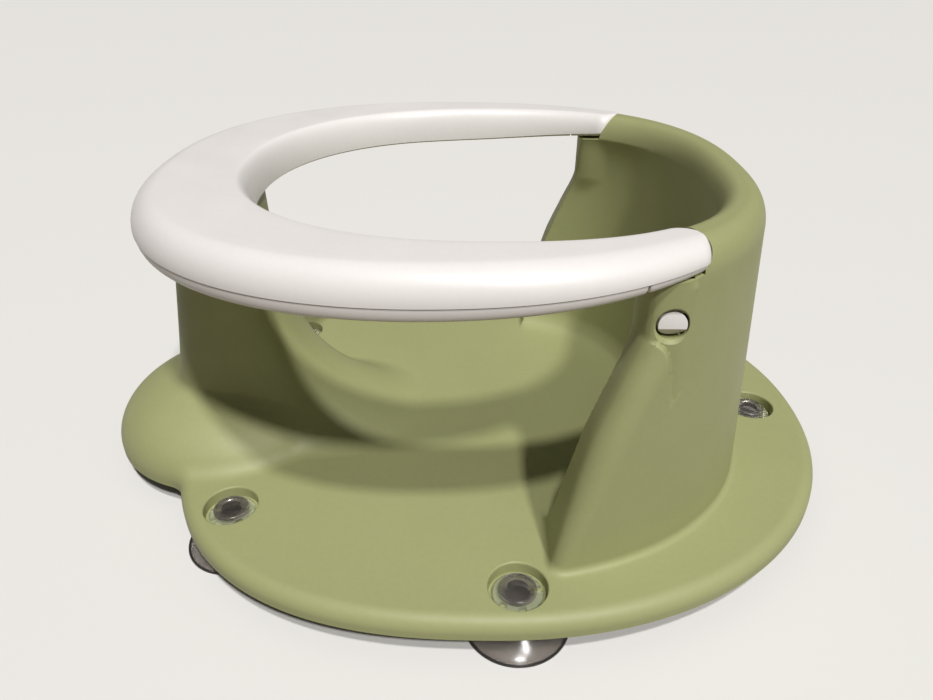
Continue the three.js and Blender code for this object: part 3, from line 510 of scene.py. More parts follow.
def surface_net(values, origin, step):
    """One point in each cell that the skin crosses, and one four-sided face for each grid edge it crosses."""
    inside = values < 0
    shape = np.array(values.shape) - 1
    count = np.zeros(shape, np.int8)
    for i, j, k in CORNERS:
        count += inside[i:i + shape[0], j:j + shape[1], k:k + shape[2]]
    cells = np.argwhere((count > 0) & (count < 8))
    corner = np.stack([values[tuple((cells + offset).T)] for offset in CORNERS], 1)
    total = np.zeros((len(cells), 3))
    crossings = np.zeros(len(cells))
    for a, b in EDGES:
        crossed = (corner[:, a] < 0) != (corner[:, b] < 0)
        share = corner[crossed, a] / (corner[crossed, a] - corner[crossed, b])
        start = np.array(CORNERS[a], float)
        total[crossed] += start + share[:, None] * (np.array(CORNERS[b]) - start)
        crossings[crossed] += 1
    points = origin + step * (cells + total / crossings[:, None])
    number = np.full(shape, -1, np.int32)
    number[tuple(cells.T)] = np.arange(len(cells))
    faces = []
    for axis in range(3):
        before = [slice(None)] * 3
        after = [slice(None)] * 3
        before[axis] = slice(0, -1)
        after[axis] = slice(1, None)
        changes = inside[tuple(before)] != inside[tuple(after)]
        places = np.argwhere(changes)
        others = [other for other in range(3) if other != axis]
        low_side = (places[:, others] > 0).all(1)
        high_side = (places[:, others] < shape[others]).all(1)
        places = places[low_side & high_side]
        around = []
        for first, second in ((0, 0), (1, 0), (1, 1), (0, 1)):
            cell = places.copy()
            cell[:, others[0]] -= first
            cell[:, others[1]] -= second
            around.append(number[tuple(cell.T)])
        quad = np.stack(around, 1)
        outward = inside[tuple(places.T)]
        if axis == 1:
            outward = ~outward
        quad[~outward] = quad[~outward, ::-1]
        faces.append(quad)
    return points, np.concatenate(faces)


def slope_of(form, points, reach=0.05):
    """Slope of a form at points."""
    slopes = []
    for axis in range(3):
        shift = np.zeros(3)
        shift[axis] = reach
        ahead = form(*(points + shift).T)
        behind = form(*(points - shift).T)
        slopes.append((ahead - behind) / (2 * reach))
    return np.stack(slopes, 1)


def settle(form, points, rounds=3, longest=1.5):
    """Moves points onto the skin of a form."""
    for _ in range(rounds):
        slope = slope_of(form, points)
        steepness = np.maximum((slope ** 2).sum(1), 1e-3)
        move = slope * (form(*points.T) / steepness)[:, None]
        length = np.linalg.norm(move, axis=1)
        move *= np.minimum(1, longest / np.maximum(length, 1e-9))[:, None]
        points = points - move
    return points


# Meshes

def new_mesh(name, points, faces):
    mesh = bpy.data.meshes.new(name)
    mesh.from_pydata(np.asarray(points).tolist(), [], [list(face) for face in faces])
    mesh.update()
    return mesh


def new_object(name, mesh):
    piece = bpy.data.objects.new(name, mesh)
    bpy.context.scene.collection.objects.link(piece)
    return piece


def mesh_points(mesh):
    points = np.empty(len(mesh.vertices) * 3)
    mesh.vertices.foreach_get("co", points)
    return points.reshape(-1, 3)


def set_points(mesh, points):
    mesh.vertices.foreach_set("co", np.asarray(points, np.float32).ravel())
    mesh.update()


def evaluated(piece):
    """The piece's mesh with its modifiers worked in; the modifiers are removed."""
    graph = bpy.context.evaluated_depsgraph_get()
    mesh = bpy.data.meshes.new_from_object(piece.evaluated_get(graph), depsgraph=graph)
    piece.modifiers.clear()
    piece.data = mesh
    return mesh


def thin_out(piece, triangles):
    count = sum(len(face.vertices) - 2 for face in piece.data.polygons)
    if count > triangles:
        modifier = piece.modifiers.new("thin out", "DECIMATE")
        modifier.ratio = triangles / count
        evaluated(piece)


def combine(piece, operation, *others):
    """Joins other closed pieces to a piece or cuts them out of it, and removes them."""
    for other in others:
        modifier = piece.modifiers.new("combine", "BOOLEAN")
        modifier.operation = operation
        modifier.solver = "MANIFOLD"
        modifier.object = other
        evaluated(piece)
        bpy.data.objects.remove(other)
    return piece


def cut(piece, *cutters):
    return combine(piece, "DIFFERENCE", *cutters)


def shade(mesh, angle=SHARP_ANGLE):
    """Smooth shading, with sharp edges where faces meet at more than the angle."""
    mesh.shade_smooth()
    mesh.set_sharp_from_angle(angle=math.radians(angle))


def face_outwards(mesh):
    """Turns a closed mesh that is inside out."""
    points = mesh_points(mesh)
    volume = 0.0
    for face in mesh.polygons:
        first, *rest = (points[index] for index in face.vertices)
        for second, third in zip(rest, rest[1:]):
            volume += np.dot(first, np.cross(second, third))
    if volume < 0:
        mesh.flip_normals()


def block_mesh(name, low, high):
    points = [(x, y, z) for x in (low[0], high[0]) for y in (low[1], high[1]) for z in (low[2], high[2])]
    faces = [(0, 1, 3, 2), (4, 6, 7, 5), (0, 4, 5, 1), (2, 3, 7, 6), (0, 2, 6, 4), (1, 5, 7, 3)]
    return new_mesh(name, points, faces)


def block(name, low, high):
    return new_object(name, block_mesh(name, low, high))


def prism(name, outline, axis, low, high):
    """Closed form along an axis; its outline gives places on the other two axes, in their order."""
    count = len(outline)
    others = [other for other in range(3) if other != axis]
    points = []
    for end in (low, high):
        for place in outline:
            point = [0, 0, 0]
            point[axis] = end
            point[others[0]], point[others[1]] = place
            points.append(point)
    faces = [list(range(count)), list(range(2 * count - 1, count - 1, -1))]
    for i in range(count):
        after = (i + 1) % count
        faces.append([i, i + count, after + count, after])
    mesh = new_mesh(name, points, faces)
    face_outwards(mesh)
    return new_object(name, mesh)


def lathe_mesh(name, profile, sides, closed=False):
    """Turns a profile of (radius, height) points about the Z axis, from axis to axis or as a closed loop."""
    points = []
    rows = []
    for radius, height in profile:
        if radius < 1e-6:
            rows.append([len(points)] * sides)
            points.append((0, 0, height))
        else:
            rows.append(list(range(len(points), len(points) + sides)))
            for side in range(sides):
                angle = 2 * math.pi * side / sides
                points.append((radius * math.cos(angle), radius * math.sin(angle), height))
    if closed:
        rows.append(rows[0])
    faces = []
    for lower, upper in zip(rows, rows[1:]):
        for side in range(sides):
            after = (side + 1) % sides
            face = list(dict.fromkeys((lower[side], lower[after], upper[after], upper[side])))
            if len(face) > 2:
                faces.append(face)
    mesh = new_mesh(name, points, faces)
    face_outwards(mesh)
    return mesh


def oblong(name, x, y, half_x, half_y, levels, sides=BORE_SIDES):
    """Closed upright form of rounded oblong section; each level gives a height and an inset."""
    points = []
    for z, inset in levels:
        for side in range(sides):
            angle = 2 * math.pi * side / sides
            cos, sin = math.cos(angle), math.sin(angle)
            size = (abs(cos) / (half_x - inset)) ** LEG_POWER + (abs(sin) / (half_y - inset)) ** LEG_POWER
            radius = size ** (-1 / LEG_POWER)
            points.append((x + radius * cos, y + radius * sin, z))
    last = (len(levels) - 1) * sides
    faces = [list(range(sides)), list(range(last, last + sides))[::-1]]
    for row in range(len(levels) - 1):
        for side in range(sides):
            after = (side + 1) % sides
            start = row * sides
            faces.append([start + side, start + side + sides, start + after + sides, start + after])
    mesh = new_mesh(name, points, faces)
    face_outwards(mesh)
    return new_object(name, mesh)


def arc(centre, radius, start, end, steps=6):
    """Points of a round arc from one angle to another, in degrees."""
    angles = [math.radians(start + (end - start) * step / steps) for step in range(steps + 1)]
    return [(centre[0] + radius * math.cos(a), centre[1] + radius * math.sin(a)) for a in angles]


def mirrored_copy(piece, name):
    mesh = piece.data.copy()
    mesh.transform(Matrix.Diagonal((-1, 1, 1, 1)))
    face_outwards(mesh)
    return new_object(name, mesh)


def copies_at(name, mesh, places):
    """One object with a copy of the mesh at each place; a place is a matrix."""
    points = []
    faces = []
    for place in places:
        start = len(points)
        points.extend((place @ vertex.co)[:] for vertex in mesh.vertices)
        faces.extend([start + index for index in face.vertices] for face in mesh.polygons)
    return new_object(name, new_mesh(name, points, faces))


# Shell

def cup_places():
    places = []
    for name in CUP_NAMES:
        low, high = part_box(f"suction_cup_{name}")
        places.append(((low.x + high.x) / 2 / MM, (low.y + high.y) / 2 / MM))
    return places


CUP_PLACES = cup_places()


def shell_values(step):
    """The shell's form on a grid, and where the grid starts."""
    return mirrored_grid(shell_form, SHELL_ROOM["half_width"], SHELL_ROOM["low"], SHELL_ROOM["high"], step)


def hollow_values(step):
    """The hollow inside the shell's walls; the posts and the bosses under the recesses stay solid."""
    values, origin = shell_values(step)
    slopes = np.gradient(values, step)
    steepness = np.sqrt(sum(slope ** 2 for slope in slopes))
    hollow = values / np.clip(steepness, *STEEPNESS_LIMITS) + WALL
    # The grid ends half a step before a further layer, so that rounding adds none
    last = origin + step * (np.array(values.shape) - 1.5)
    x, y, z = grid_axes(origin, last, step)
    post = np.maximum(np.abs(y - POST_Y) - POST_SOLID["half_depth"], POST_SOLID["from_x"] - np.abs(x))
    post = np.maximum(post, POST_SOLID["from_z"] - z)
    hollow = np.maximum(hollow, -post)
    for cup_x, cup_y in CUP_PLACES:
        boss = np.hypot(x - cup_x, y - cup_y) - RECESS_RADIUS - WALL
        boss = np.maximum(boss, PLATE_TOP - RECESS_DEPTH - WALL - z)
        hollow = np.maximum(hollow, -boss)
    return close_border(hollow), origin


def corner_inset(radius, distance):
    """How far a round corner draws a side in, at a distance from the end."""
    left = max(radius - distance, 0)
    return radius - math.sqrt(radius ** 2 - left ** 2)


def ring_end_plan(steps=48):
    """Plan of the ring's right end from its outer to its inner side, moved back by the gap."""
    outer = Vector((outline_x(REST, REST_POWER, RING_END["outer"]), RING_END["outer"]))
    inner = Vector((outline_x(WELL, WELL_POWER, RING_END["inner"]), RING_END["inner"]))
    across = (inner - outer).normalized()
    back = Vector((across.y, -across.x))
    width = (inner - outer).length
    plan = []
    for step in range(steps + 1):
        side = width * (1 - math.cos(math.pi * step / steps)) / 2
        depth = corner_inset(RING_CORNER["outer"], side) + corner_inset(RING_CORNER["inner"], width - side)
        plan.append(outer + across * side - back * (depth - GAP))
    return [tuple(point) for point in plan]


def under_ring_cutter():
    """Everything over the seat that the ring covers; its back follows the round ends of the ring."""
    ys = [-FAR_OUT, *np.linspace(RISE_START_Y, RING_CUT_END_Y, 40)]
    outline = [(y, float(under_ring(y))) for y in ys] + [(ys[-1], FAR_OUT), (ys[0], FAR_OUT)]
    room = prism("under_ring", outline, 0, -FAR_OUT, FAR_OUT)
    right = ring_end_plan()
    right = [(FAR_OUT, -FAR_OUT), (FAR_OUT, right[0][1]), *right]
    plan = right + [(-x, y) for x, y in reversed(right)]
    return combine(room, "INTERSECT", prism("ring_plan", plan, 2, LEG_FOOT, FAR_OUT))


def recess_cutter():
    floor = PLATE_TOP - RECESS_DEPTH
    bore = NECK_RADIUS + NECK_GAP
    mouth = RECESS_RADIUS + RECESS_EDGE_ROUND
    edge = arc((mouth, PLATE_TOP - RECESS_EDGE_ROUND), RECESS_EDGE_ROUND, 180, 90)
    profile = [
        (0, RECESS_BORE_FROM), (bore, RECESS_BORE_FROM), (bore, floor), (RECESS_RADIUS, floor),
        *edge, (mouth, PLATE_TOP + OVERCUT), (0, PLATE_TOP + OVERCUT),
    ]
    places = [Matrix.Translation((x, y, 0)) for x, y in CUP_PLACES]
    return copies_at("recesses", lathe_mesh("recess", profile, BORE_SIDES), places)


def pocket_cutter():
    """Three small pockets at the foot of each recess, where the collars are keyed."""
    half = KEY_POCKET["width"] / 2
    (near, far), (foot, top) = KEY_POCKET["radii"], KEY_POCKET["heights"]
    places = []
    for x, y in CUP_PLACES:
        for direction in KEY_POCKET["directions"]:
            angle = math.radians(direction if x >= 0 else 180 - direction)
            places.append(Matrix.Translation((x, y, 0)) @ Matrix.Rotation(angle, 4, "Z"))
    return copies_at("pockets", block_mesh("pocket", (near, -half, foot), (far, half, top)), places)


def latch_hole_cutter():
    bore = LATCH_HOLE_RADIUS
    mouth = LATCH_HOLE_RADIUS + LATCH_CHAMFER
    past = 3 * OVERLAP
    profile = [
        (0, -LATCH_HOLE_DEPTH), (bore, -LATCH_HOLE_DEPTH), (bore, -LATCH_CHAMFER), (mouth, 0), (mouth, past),
        (0, past),
    ]
    places = []
    for side in (1, -1):
        turn = Matrix.Rotation(side * math.pi / 2, 4, "Y")
        places.append(Matrix.Translation((side * POST_FACE, POST_Y, LATCH_HOLE_Z)) @ turn)
    return copies_at("latch_holes", lathe_mesh("latch_hole", profile, BORE_SIDES), places)


def socket_cutters():
    """Room for the leg, and beside it for the latch head, in each post."""
    width = LEG_HALF_WIDTH + SOCKET_GAP
    reach = LATCH_RADIUS + SOCKET_GAP
    back = LEG_X - LEG_HALF_DEPTH - SOCKET_GAP
    front = LEG_X + LEG_HALF_DEPTH + SOCKET_GAP
    face = POST_FACE - POST_WALL - SOCKET_GAP
    leg_room = (back, front, width, LEG_FOOT - GAP)
    latch_room = (LEG_X, face, reach, LATCH_HOLE_Z - reach)
    cutters = []
    for side in (1, -1):
        for near, far, half, low in (leg_room, latch_room):
            xs = sorted((side * near, side * far))
            cutters.append(block("socket", (xs[0], POST_Y - half, low), (xs[1], POST_Y + half, FAR_OUT)))
    return cutters


def round_normals(mesh, form):
    """Gives the form's own normals to the faces on its skin; cut faces keep flat or rounded ones."""
    mesh.set_sharp_from_angle(angle=math.radians(SHARP_ANGLE))
    count = len(mesh.loops)
    normals = np.empty(count * 3, np.float32)
    mesh.corner_normals.foreach_get("vector", normals)
    normals = normals.reshape(-1, 3)
    points = mesh_points(mesh)
    slope = slope_of(form, points)
    steepness = np.linalg.norm(slope, axis=1)
    slope /= np.maximum(steepness, 1e-6)[:, None]
    on_skin = np.abs(form(*points.T)) / np.maximum(steepness, 1e-6) < SKIN_REACH
    corner_vertex = np.empty(count, np.int32)
    mesh.loops.foreach_get("vertex_index", corner_vertex)
    face_normal = np.empty(len(mesh.polygons) * 3, np.float32)
    mesh.polygons.foreach_get("normal", face_normal)
    face_size = np.empty(len(mesh.polygons), np.int32)
    mesh.polygons.foreach_get("loop_total", face_size)
    corner_face = np.repeat(face_normal.reshape(-1, 3), face_size, axis=0)
    alike = (corner_face * slope[corner_vertex]).sum(1) > math.cos(math.radians(SKIN_ANGLE))
    use = on_skin[corner_vertex] & alike
    normals[use] = slope[corner_vertex][use]
    mesh.normals_split_custom_set(normals.tolist())


def make_shell():
    values, origin = shell_values(GRID_STEP)
    points, faces = surface_net(close_border(values), origin, GRID_STEP)
    points = settle(shell_form, points)
    shell = new_object("shell", new_mesh("shell", points, faces))
    thin_out(shell, SHELL_TRIANGLES)
    set_points(shell.data, settle(shell_form, mesh_points(shell.data), rounds=2, longest=0.4))
    points, faces = surface_net(*hollow_values(HOLLOW_STEP), HOLLOW_STEP)
    hollow = new_object("hollow", new_mesh("hollow", points, faces))
    thin_out(hollow, HOLLOW_TRIANGLES)
    across = BELOW_SKIRT["half_width"]
    along = BELOW_SKIRT["half_length"]
    below = block("below", (-across, -along, BELOW_SKIRT["from"]), (across, along, SKIRT_FOOT))
    cut(shell, hollow, below, under_ring_cutter(), recess_cutter(), pocket_cutter(), latch_hole_cutter())
    cut(shell, *socket_cutters())
    round_normals(shell.data, shell_form)
    return shell


# Node trees

class Number:
    """A number that a node tree works out, written with the usual signs."""

    def __init__(self, tree, socket):
        self.tree = tree
        self.socket = socket

    def math(self, operation, *others, clamp=False):
        node = self.tree.nodes.new("ShaderNodeMath")
        node.operation = operation
        node.use_clamp = clamp
        for socket, value in zip(node.inputs, (self, *others)):
            feed(self.tree, socket, value)
        return Number(self.tree, node.outputs[0])

    def __add__(self, other):
        return self.math("ADD", other)

    def __sub__(self, other):
        return self.math("SUBTRACT", other)

    def __mul__(self, other):
        return self.math("MULTIPLY", other)

    def __truediv__(self, other):
        return self.math("DIVIDE", other)

    def __rsub__(self, other):
        return (self * -1) + other

    def __rtruediv__(self, other):
        return (self ** -1) * other

    def __pow__(self, other):
        return self.math("POWER", other)

    __radd__ = __add__

    def clamped(self):
        return self.math("ADD", 0, clamp=True)


def feed(tree, socket, value):
    """Links a socket to a number, or sets its own value."""
    if isinstance(value, Number):
        tree.links.new(value.socket, socket)
    elif isinstance(value, bpy.types.NodeSocket):
        tree.links.new(value, socket)
    else:
        socket.default_value = value


SOCKET_TYPES = {float: "NodeSocketFloat", int: "NodeSocketInt"}


def geometry_tree(name, sizes):
    """A tree with a geometry input, a material input and named size inputs."""
    tree = bpy.data.node_groups.new(name, "GeometryNodeTree")
    tree.interface.new_socket("Geometry", in_out="OUTPUT", socket_type="NodeSocketGeometry")
    tree.interface.new_socket("Geometry", in_out="INPUT", socket_type="NodeSocketGeometry")
    tree.interface.new_socket("Material", in_out="INPUT", socket_type="NodeSocketMaterial")
    for label, value in sizes.items():
        socket = tree.interface.new_socket(label, in_out="INPUT", socket_type=SOCKET_TYPES[type(value)])
        socket.default_value = value
    given = tree.nodes.new("NodeGroupInput")
    return tree, given


def sized(tree, given, label):
    return Number(tree, given.outputs[label])


def add_tree(piece, tree, **values):
    """Adds the tree as a modifier, with its inputs set by their labels."""
    modifier = piece.modifiers.new(tree.name, "NODES")
    modifier.node_group = tree
    identifiers = {item.name: item.identifier for item in tree.interface.items_tree if item.in_out == "INPUT"}
    for label, value in values.items():
        modifier[identifiers[label]] = value
    return modifier


def finish_tree(tree, geometry, given):
    """Realizes what repeats, sets the material and hands the geometry out."""
    realize = tree.nodes.new("GeometryNodeRealizeInstances")
    paint = tree.nodes.new("GeometryNodeSetMaterial")
    smooth = tree.nodes.new("GeometryNodeSetShadeSmooth")
    out = tree.nodes.new("NodeGroupOutput")
    tree.links.new(geometry, realize.inputs[0])
    tree.links.new(realize.outputs[0], smooth.inputs[0])
    tree.links.new(smooth.outputs[0], paint.inputs["Geometry"])
    tree.links.new(given.outputs["Material"], paint.inputs["Material"])
    tree.links.new(paint.outputs[0], out.inputs[0])


# Safety ring

OUTLINE_SIZES = ("Centre", "Half Width", "Front", "Rear", "Front Power", "Rear Power", "End Angle")


def outline_point(tree, given, prefix, share):
    """X and Y of an outline at a share of the way from its right end, past the front, to its left end."""
    centre, half_width, front, rear, front_power, rear_power, end = (
        sized(tree, given, f"{prefix} {label}") for label in OUTLINE_SIZES
    )
    angle = end - share * (end * 2 + math.pi)
    cos = angle.math("COSINE")
    sin = angle.math("SINE")
    ahead = sin.math("LESS_THAN", 0)
    power = rear_power + (front_power - rear_power) * ahead
    reach = rear + (front - rear) * ahead
    size = (cos.math("ABSOLUTE") / half_width) ** power + (sin.math("ABSOLUTE") / reach) ** power
    radius = size ** (-1 / power)
    return radius * cos, centre + radius * sin


def band_tree():
    """A band round the ring's path with a rounded half section, closed at its ends with a small round."""
    sizes = {f"{prefix} {label}": 1.0 for prefix in ("Outer", "Inner") for label in OUTLINE_SIZES}
    sizes.update({
        "Stations": 200, "Profile Points": 40, "From": 0.0, "To": 1.0, "Path Length": end_speed(),
        "End Share": 0.02, "Edge Round": RING_EDGE_ROUND, "Step In": 0.0,
        "Outer Round": RIM_OUTER_ROUND, "Inner Round": RING_INNER_ROUND,
        "Outer Corner": RING_CORNER["outer"], "Inner Corner": RING_CORNER["inner"],
        "Round Start": 1.0, "Round End": 1.0,
        "Base Height": RING_SEAM, "Base Rise": SEAM_RISE, "Base Drop": SEAM_DROP,
        "Tip Height": RING_TOP, "Tip Rise": 0.0, "Rise Start": RISE_START_Y, "Rise End": RISE_END_Y,
    })
    tree, given = geometry_tree("band", sizes)
    grid = tree.nodes.new("GeometryNodeMeshGrid")
    grid.inputs["Size X"].default_value = 1
    grid.inputs["Size Y"].default_value = 1
    tree.links.new(given.outputs["Stations"], grid.inputs["Vertices X"])
    tree.links.new(given.outputs["Profile Points"], grid.inputs["Vertices Y"])
    place = tree.nodes.new("GeometryNodeInputPosition")
    apart = tree.nodes.new("ShaderNodeSeparateXYZ")
    tree.links.new(place.outputs[0], apart.inputs[0])
    along = Number(tree, apart.outputs["X"]) + 0.5
    around = Number(tree, apart.outputs["Y"]) + 0.5

    start, end, end_share, edge, length = (
        sized(tree, given, label) for label in ("From", "To", "End Share", "Edge Round", "Path Length")
    )
    phase = (along.math("MINIMUM", 1 - along) / end_share).clamped()
    way = ((along - end_share) / (1 - end_share * 2)).clamped()
    way = (1 - (way * math.pi).math("COSINE")) / 2
    widen = (phase * 2).clamped()
    turn = (phase * 2 - 1).clamped() * (math.pi / 2)
    inset = edge * (1 - turn.math("SINE"))
    forward = edge * (1 - turn.math("COSINE")) / length
    share = start + forward + (end - start - forward * 2) * way

    outer_x, outer_y = outline_point(tree, given, "Outer", share)
    inner_x, inner_y = outline_point(tree, given, "Inner", share)
    across_x = inner_x - outer_x
    across_y = inner_y - outer_y
    width = (across_x * across_x + across_y * across_y).math("SQRT")

    from_start = (share - start) * length
    from_end = (end - share) * length
    drawn_in = {}
    for label in ("Outer Corner", "Inner Corner"):
        radius = sized(tree, given, label)
        drawn_in[label] = 0
        for distance, flag in ((from_start, "Round Start"), (from_end, "Round End")):
            left = (radius - distance).math("MAXIMUM", 0)
            inset_there = radius - (radius * radius - left * left).math("MAXIMUM", 0).math("SQRT")
            drawn_in[label] = inset_there * sized(tree, given, flag) + drawn_in[label]
    outer_in = drawn_in["Outer Corner"]
    inner_in = drawn_in["Inner Corner"]
    room = width - outer_in - inner_in

    # The last point of the section closes it: it goes back to the section's start
    points = sized(tree, given, "Profile Points")
    profile = around * (points - 1) / (points - 2)
    profile = profile * profile.math("LESS_THAN", 1.0001)
    outer_turn = (profile / SECTION_SIDE_SHARE).clamped() * (math.pi / 2)
    inner_turn = ((1 - profile) / SECTION_SIDE_SHARE).clamped() * (math.pi / 2)
    flat = ((profile - SECTION_SIDE_SHARE) / (1 - 2 * SECTION_SIDE_SHARE)).clamped()
    step_in = sized(tree, given, "Step In")
    outer_round = sized(tree, given, "Outer Round").math("MINIMUM", room * OUTER_ROUND_SHARE)
    inner_round = sized(tree, given, "Inner Round").math("MINIMUM", room * INNER_ROUND_SHARE)
    level = room - step_in * 2 - outer_round - inner_round
    side = step_in + outer_in + outer_round * (1 - outer_turn.math("COSINE")) + level * flat
    side = side + inner_round * inner_turn.math("COSINE")
    middle = outer_in + room / 2
    narrow = (1 - inset * 2 / room).math("MAXIMUM", LEAST_SHARE)
    side = middle + (side - middle) * widen * narrow
    x = outer_x + across_x * side / width
    y = outer_y + across_y * side / width

    rise_start = sized(tree, given, "Rise Start")
    rise_end = sized(tree, given, "Rise End")
    rise = ((y - rise_start) / (rise_end - rise_start)).math("MAXIMUM", 0)
    rise = rise * rise
    base = sized(tree, given, "Base Height") + sized(tree, given, "Base Rise") * rise
    base = base - sized(tree, given, "Base Drop") * (1 - rise).math("MAXIMUM", 0) * side / width
    tip = sized(tree, given, "Tip Height") + sized(tree, given, "Tip Rise") * rise
    lift = outer_turn.math("SINE").math("MINIMUM", inner_turn.math("SINE"))
    z = base + (tip - base) * lift
    half_height = (tip - base) / 2
    centre = base + half_height
    low = (1 - inset / half_height.math("ABSOLUTE")).math("MAXIMUM", LEAST_SHARE)
    z = centre + (z - centre) * widen * low

    together = tree.nodes.new("ShaderNodeCombineXYZ")
    for socket, value in zip(together.inputs, (x, y, z)):
        feed(tree, socket, value)
    move = tree.nodes.new("GeometryNodeSetPosition")
    tree.links.new(grid.outputs["Mesh"], move.inputs["Geometry"])
    tree.links.new(together.outputs[0], move.inputs["Position"])
    merge = tree.nodes.new("GeometryNodeMergeByDistance")
    merge.inputs["Distance"].default_value = MERGE_DISTANCE
    tree.links.new(move.outputs[0], merge.inputs["Geometry"])
    finish_tree(tree, merge.outputs[0], given)
    return tree


def end_angle(oval, power, end_y):
    """Direction in which an outline reaches the ring's end."""
    return math.atan2(end_y - oval["centre"], outline_x(oval, power, end_y))


RING_OUTLINES = {
    "Outer": (REST, RING_OUTER, REST_POWER, end_angle(REST, REST_POWER, RING_END["outer"])),
    "Inner": (WELL, RING_INNER, WELL_POWER, end_angle(WELL, WELL_POWER, RING_END["inner"])),
}


def outline_inputs():
    values = {}
    for prefix, (oval, front, power, end) in RING_OUTLINES.items():
        reaches = (oval["centre"], oval["half_width"], front["front"], oval["rear"])
        for label, number in zip(OUTLINE_SIZES, (*reaches, front["front_power"], power, end)):
            values[f"{prefix} {label}"] = number
    return values


def outline_at(prefix, share):
    """Point of one of the ring's outlines at a share of its way round."""
    oval, front, power, end = RING_OUTLINES[prefix]
    angle = end - share * (2 * end + math.pi)
    cos = math.cos(angle)
    sin = math.sin(angle)
    if sin < 0:
        power = front["front_power"]
    reach = front["front"] if sin < 0 else oval["rear"]
    radius = ((abs(cos) / oval["half_width"]) ** power + (abs(sin) / reach) ** power) ** (-1 / power)
    return radius * cos, oval["centre"] + radius * sin


def share_at(y):
    """Share of the ring's way round at which its middle line passes a place on the right-hand side."""
    low, high = 0.0, 0.5
    for _ in range(40):
        middle = (low + high) / 2
        if (outline_at("Outer", middle)[1] + outline_at("Inner", middle)[1]) / 2 > y:
            low = middle
        else:
            high = middle
    return low


def end_speed(share=0.01):
    """Length of the ring's middle line for a whole share, measured at its end."""
    start, later = (
        (Vector(outline_at("Outer", place)) + Vector(outline_at("Inner", place))) / 2 for place in (0, share)
    )
    return (later - start).length / share


def make_band(name, tree, material, fineness, sizes):
    piece = new_object(name, bpy.data.meshes.new(name))
    stations = fineness["stations"]
    values = {
        **outline_inputs(), "Stations": stations, "Profile Points": fineness["points"],
        "End Share": END_STATIONS / (stations - 1), **sizes,
    }
    add_tree(piece, tree, Material=material, **values)
    mesh = evaluated(piece)
    face_outwards(mesh)
    mesh.set_sharp_from_angle(angle=math.radians(RING_SHARP_ANGLE))
    return piece


def make_ring(material):
    """The ring's top cover, the bottom cover in front of the joints, and the strips of its two end pieces."""
    tree = band_tree()
    joint = share_at(JOINT_Y)
    last = joint - 2 * GAP / end_speed()
    cover = {
        "Outer Round": RIM_OUTER_ROUND, "Inner Round": RING_INNER_ROUND,
        "Base Height": RING_SEAM + SEAM_GAP / 2, "Tip Height": RING_TOP,
    }
    tray = {
        "Step In": SEAM_STEP, "Outer Round": TRAY_ROUND, "Inner Round": TRAY_INNER_ROUND,
        "Base Height": RING_SEAM - SEAM_GAP / 2, "Tip Height": RING_BOTTOM, "Tip Rise": BOTTOM_RISE,
    }
    bands = (
        ("top_cover", COVER_FINENESS, cover, 0.0, 1.0),
        ("bottom_cover", TRAY_FINENESS, tray, joint, 1 - joint),
        ("strip_right", STRIP_FINENESS, tray, 0.0, last),
        ("strip_left", STRIP_FINENESS, tray, 1 - last, 1.0),
    )
    pieces = []
    for name, fineness, section, start, end in bands:
        stretch = {"From": start, "To": end, "Round Start": float(start == 0), "Round End": float(end == 1)}
        piece = make_band(name, tree, material, fineness, {**section, **stretch})
        cut(piece, screw_holes())
        shade(piece.data, RING_SHARP_ANGLE)
        pieces.append(piece)
    return pieces


# Screws

def screw_place(name):
    low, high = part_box(name)
    return (low.x + high.x) / 2 / MM, (low.y + high.y) / 2 / MM, low.z / MM


SCREW_PLACES = [screw_place(name) for name in SCREW_NAMES]


def screw_holes():
    """Counterbores and bores for the screws under the ring."""
    wide = SCREW_HEAD_RADIUS + GAP
    narrow = SCREW_SHANK_RADIUS + GAP
    seat = SCREW_HEAD_HEIGHT + GAP / 2
    deep = SCREW_LENGTH + GAP
    profile = [(0, -deep), (wide, -deep), (wide, seat), (narrow, seat), (narrow, deep - narrow), (0, deep)]
    places = [Matrix.Translation(place) for place in SCREW_PLACES]
    return copies_at("screw_holes", lathe_mesh("screw_hole", profile, SCREW_HOLE_SIDES), places)


def screw_source():
    """A tapping screw that points up, with a cross recess in its rounded head."""
    head = SCREW_HEAD_RADIUS
    root = SCREW_SHANK_RADIUS - THREAD_DEPTH
    profile = [(0, 0), *((head * share, z) for share, z in SCREW_HEAD_CROWN), (head, SCREW_HEAD_HEIGHT)]
    thread = SCREW_HEAD_HEIGHT + THREAD_START
    for turn in range(int((SCREW_LENGTH - SCREW_TIP - thread) / THREAD_PITCH)):
        z = thread + turn * THREAD_PITCH
        profile += [(root, z), (SCREW_SHANK_RADIUS, z + THREAD_PITCH / 2)]
    profile += [(root, SCREW_LENGTH - SCREW_TIP), (0, SCREW_LENGTH)]
    screw = new_object("screw_source", lathe_mesh("screw_source", profile, SCREW_SIDES))
    long = SCREW_CROSS["half_length"]
    thin = SCREW_CROSS["half_width"]
    for half_x, half_y in ((long, thin), (thin, long)):
        cut(screw, block("slot", (-half_x, -half_y, -OVERLAP), (half_x, half_y, SCREW_CROSS["depth"])))
    shade(screw.data)
    return screw


# Legs and latch buttons, drawn on the right-hand side

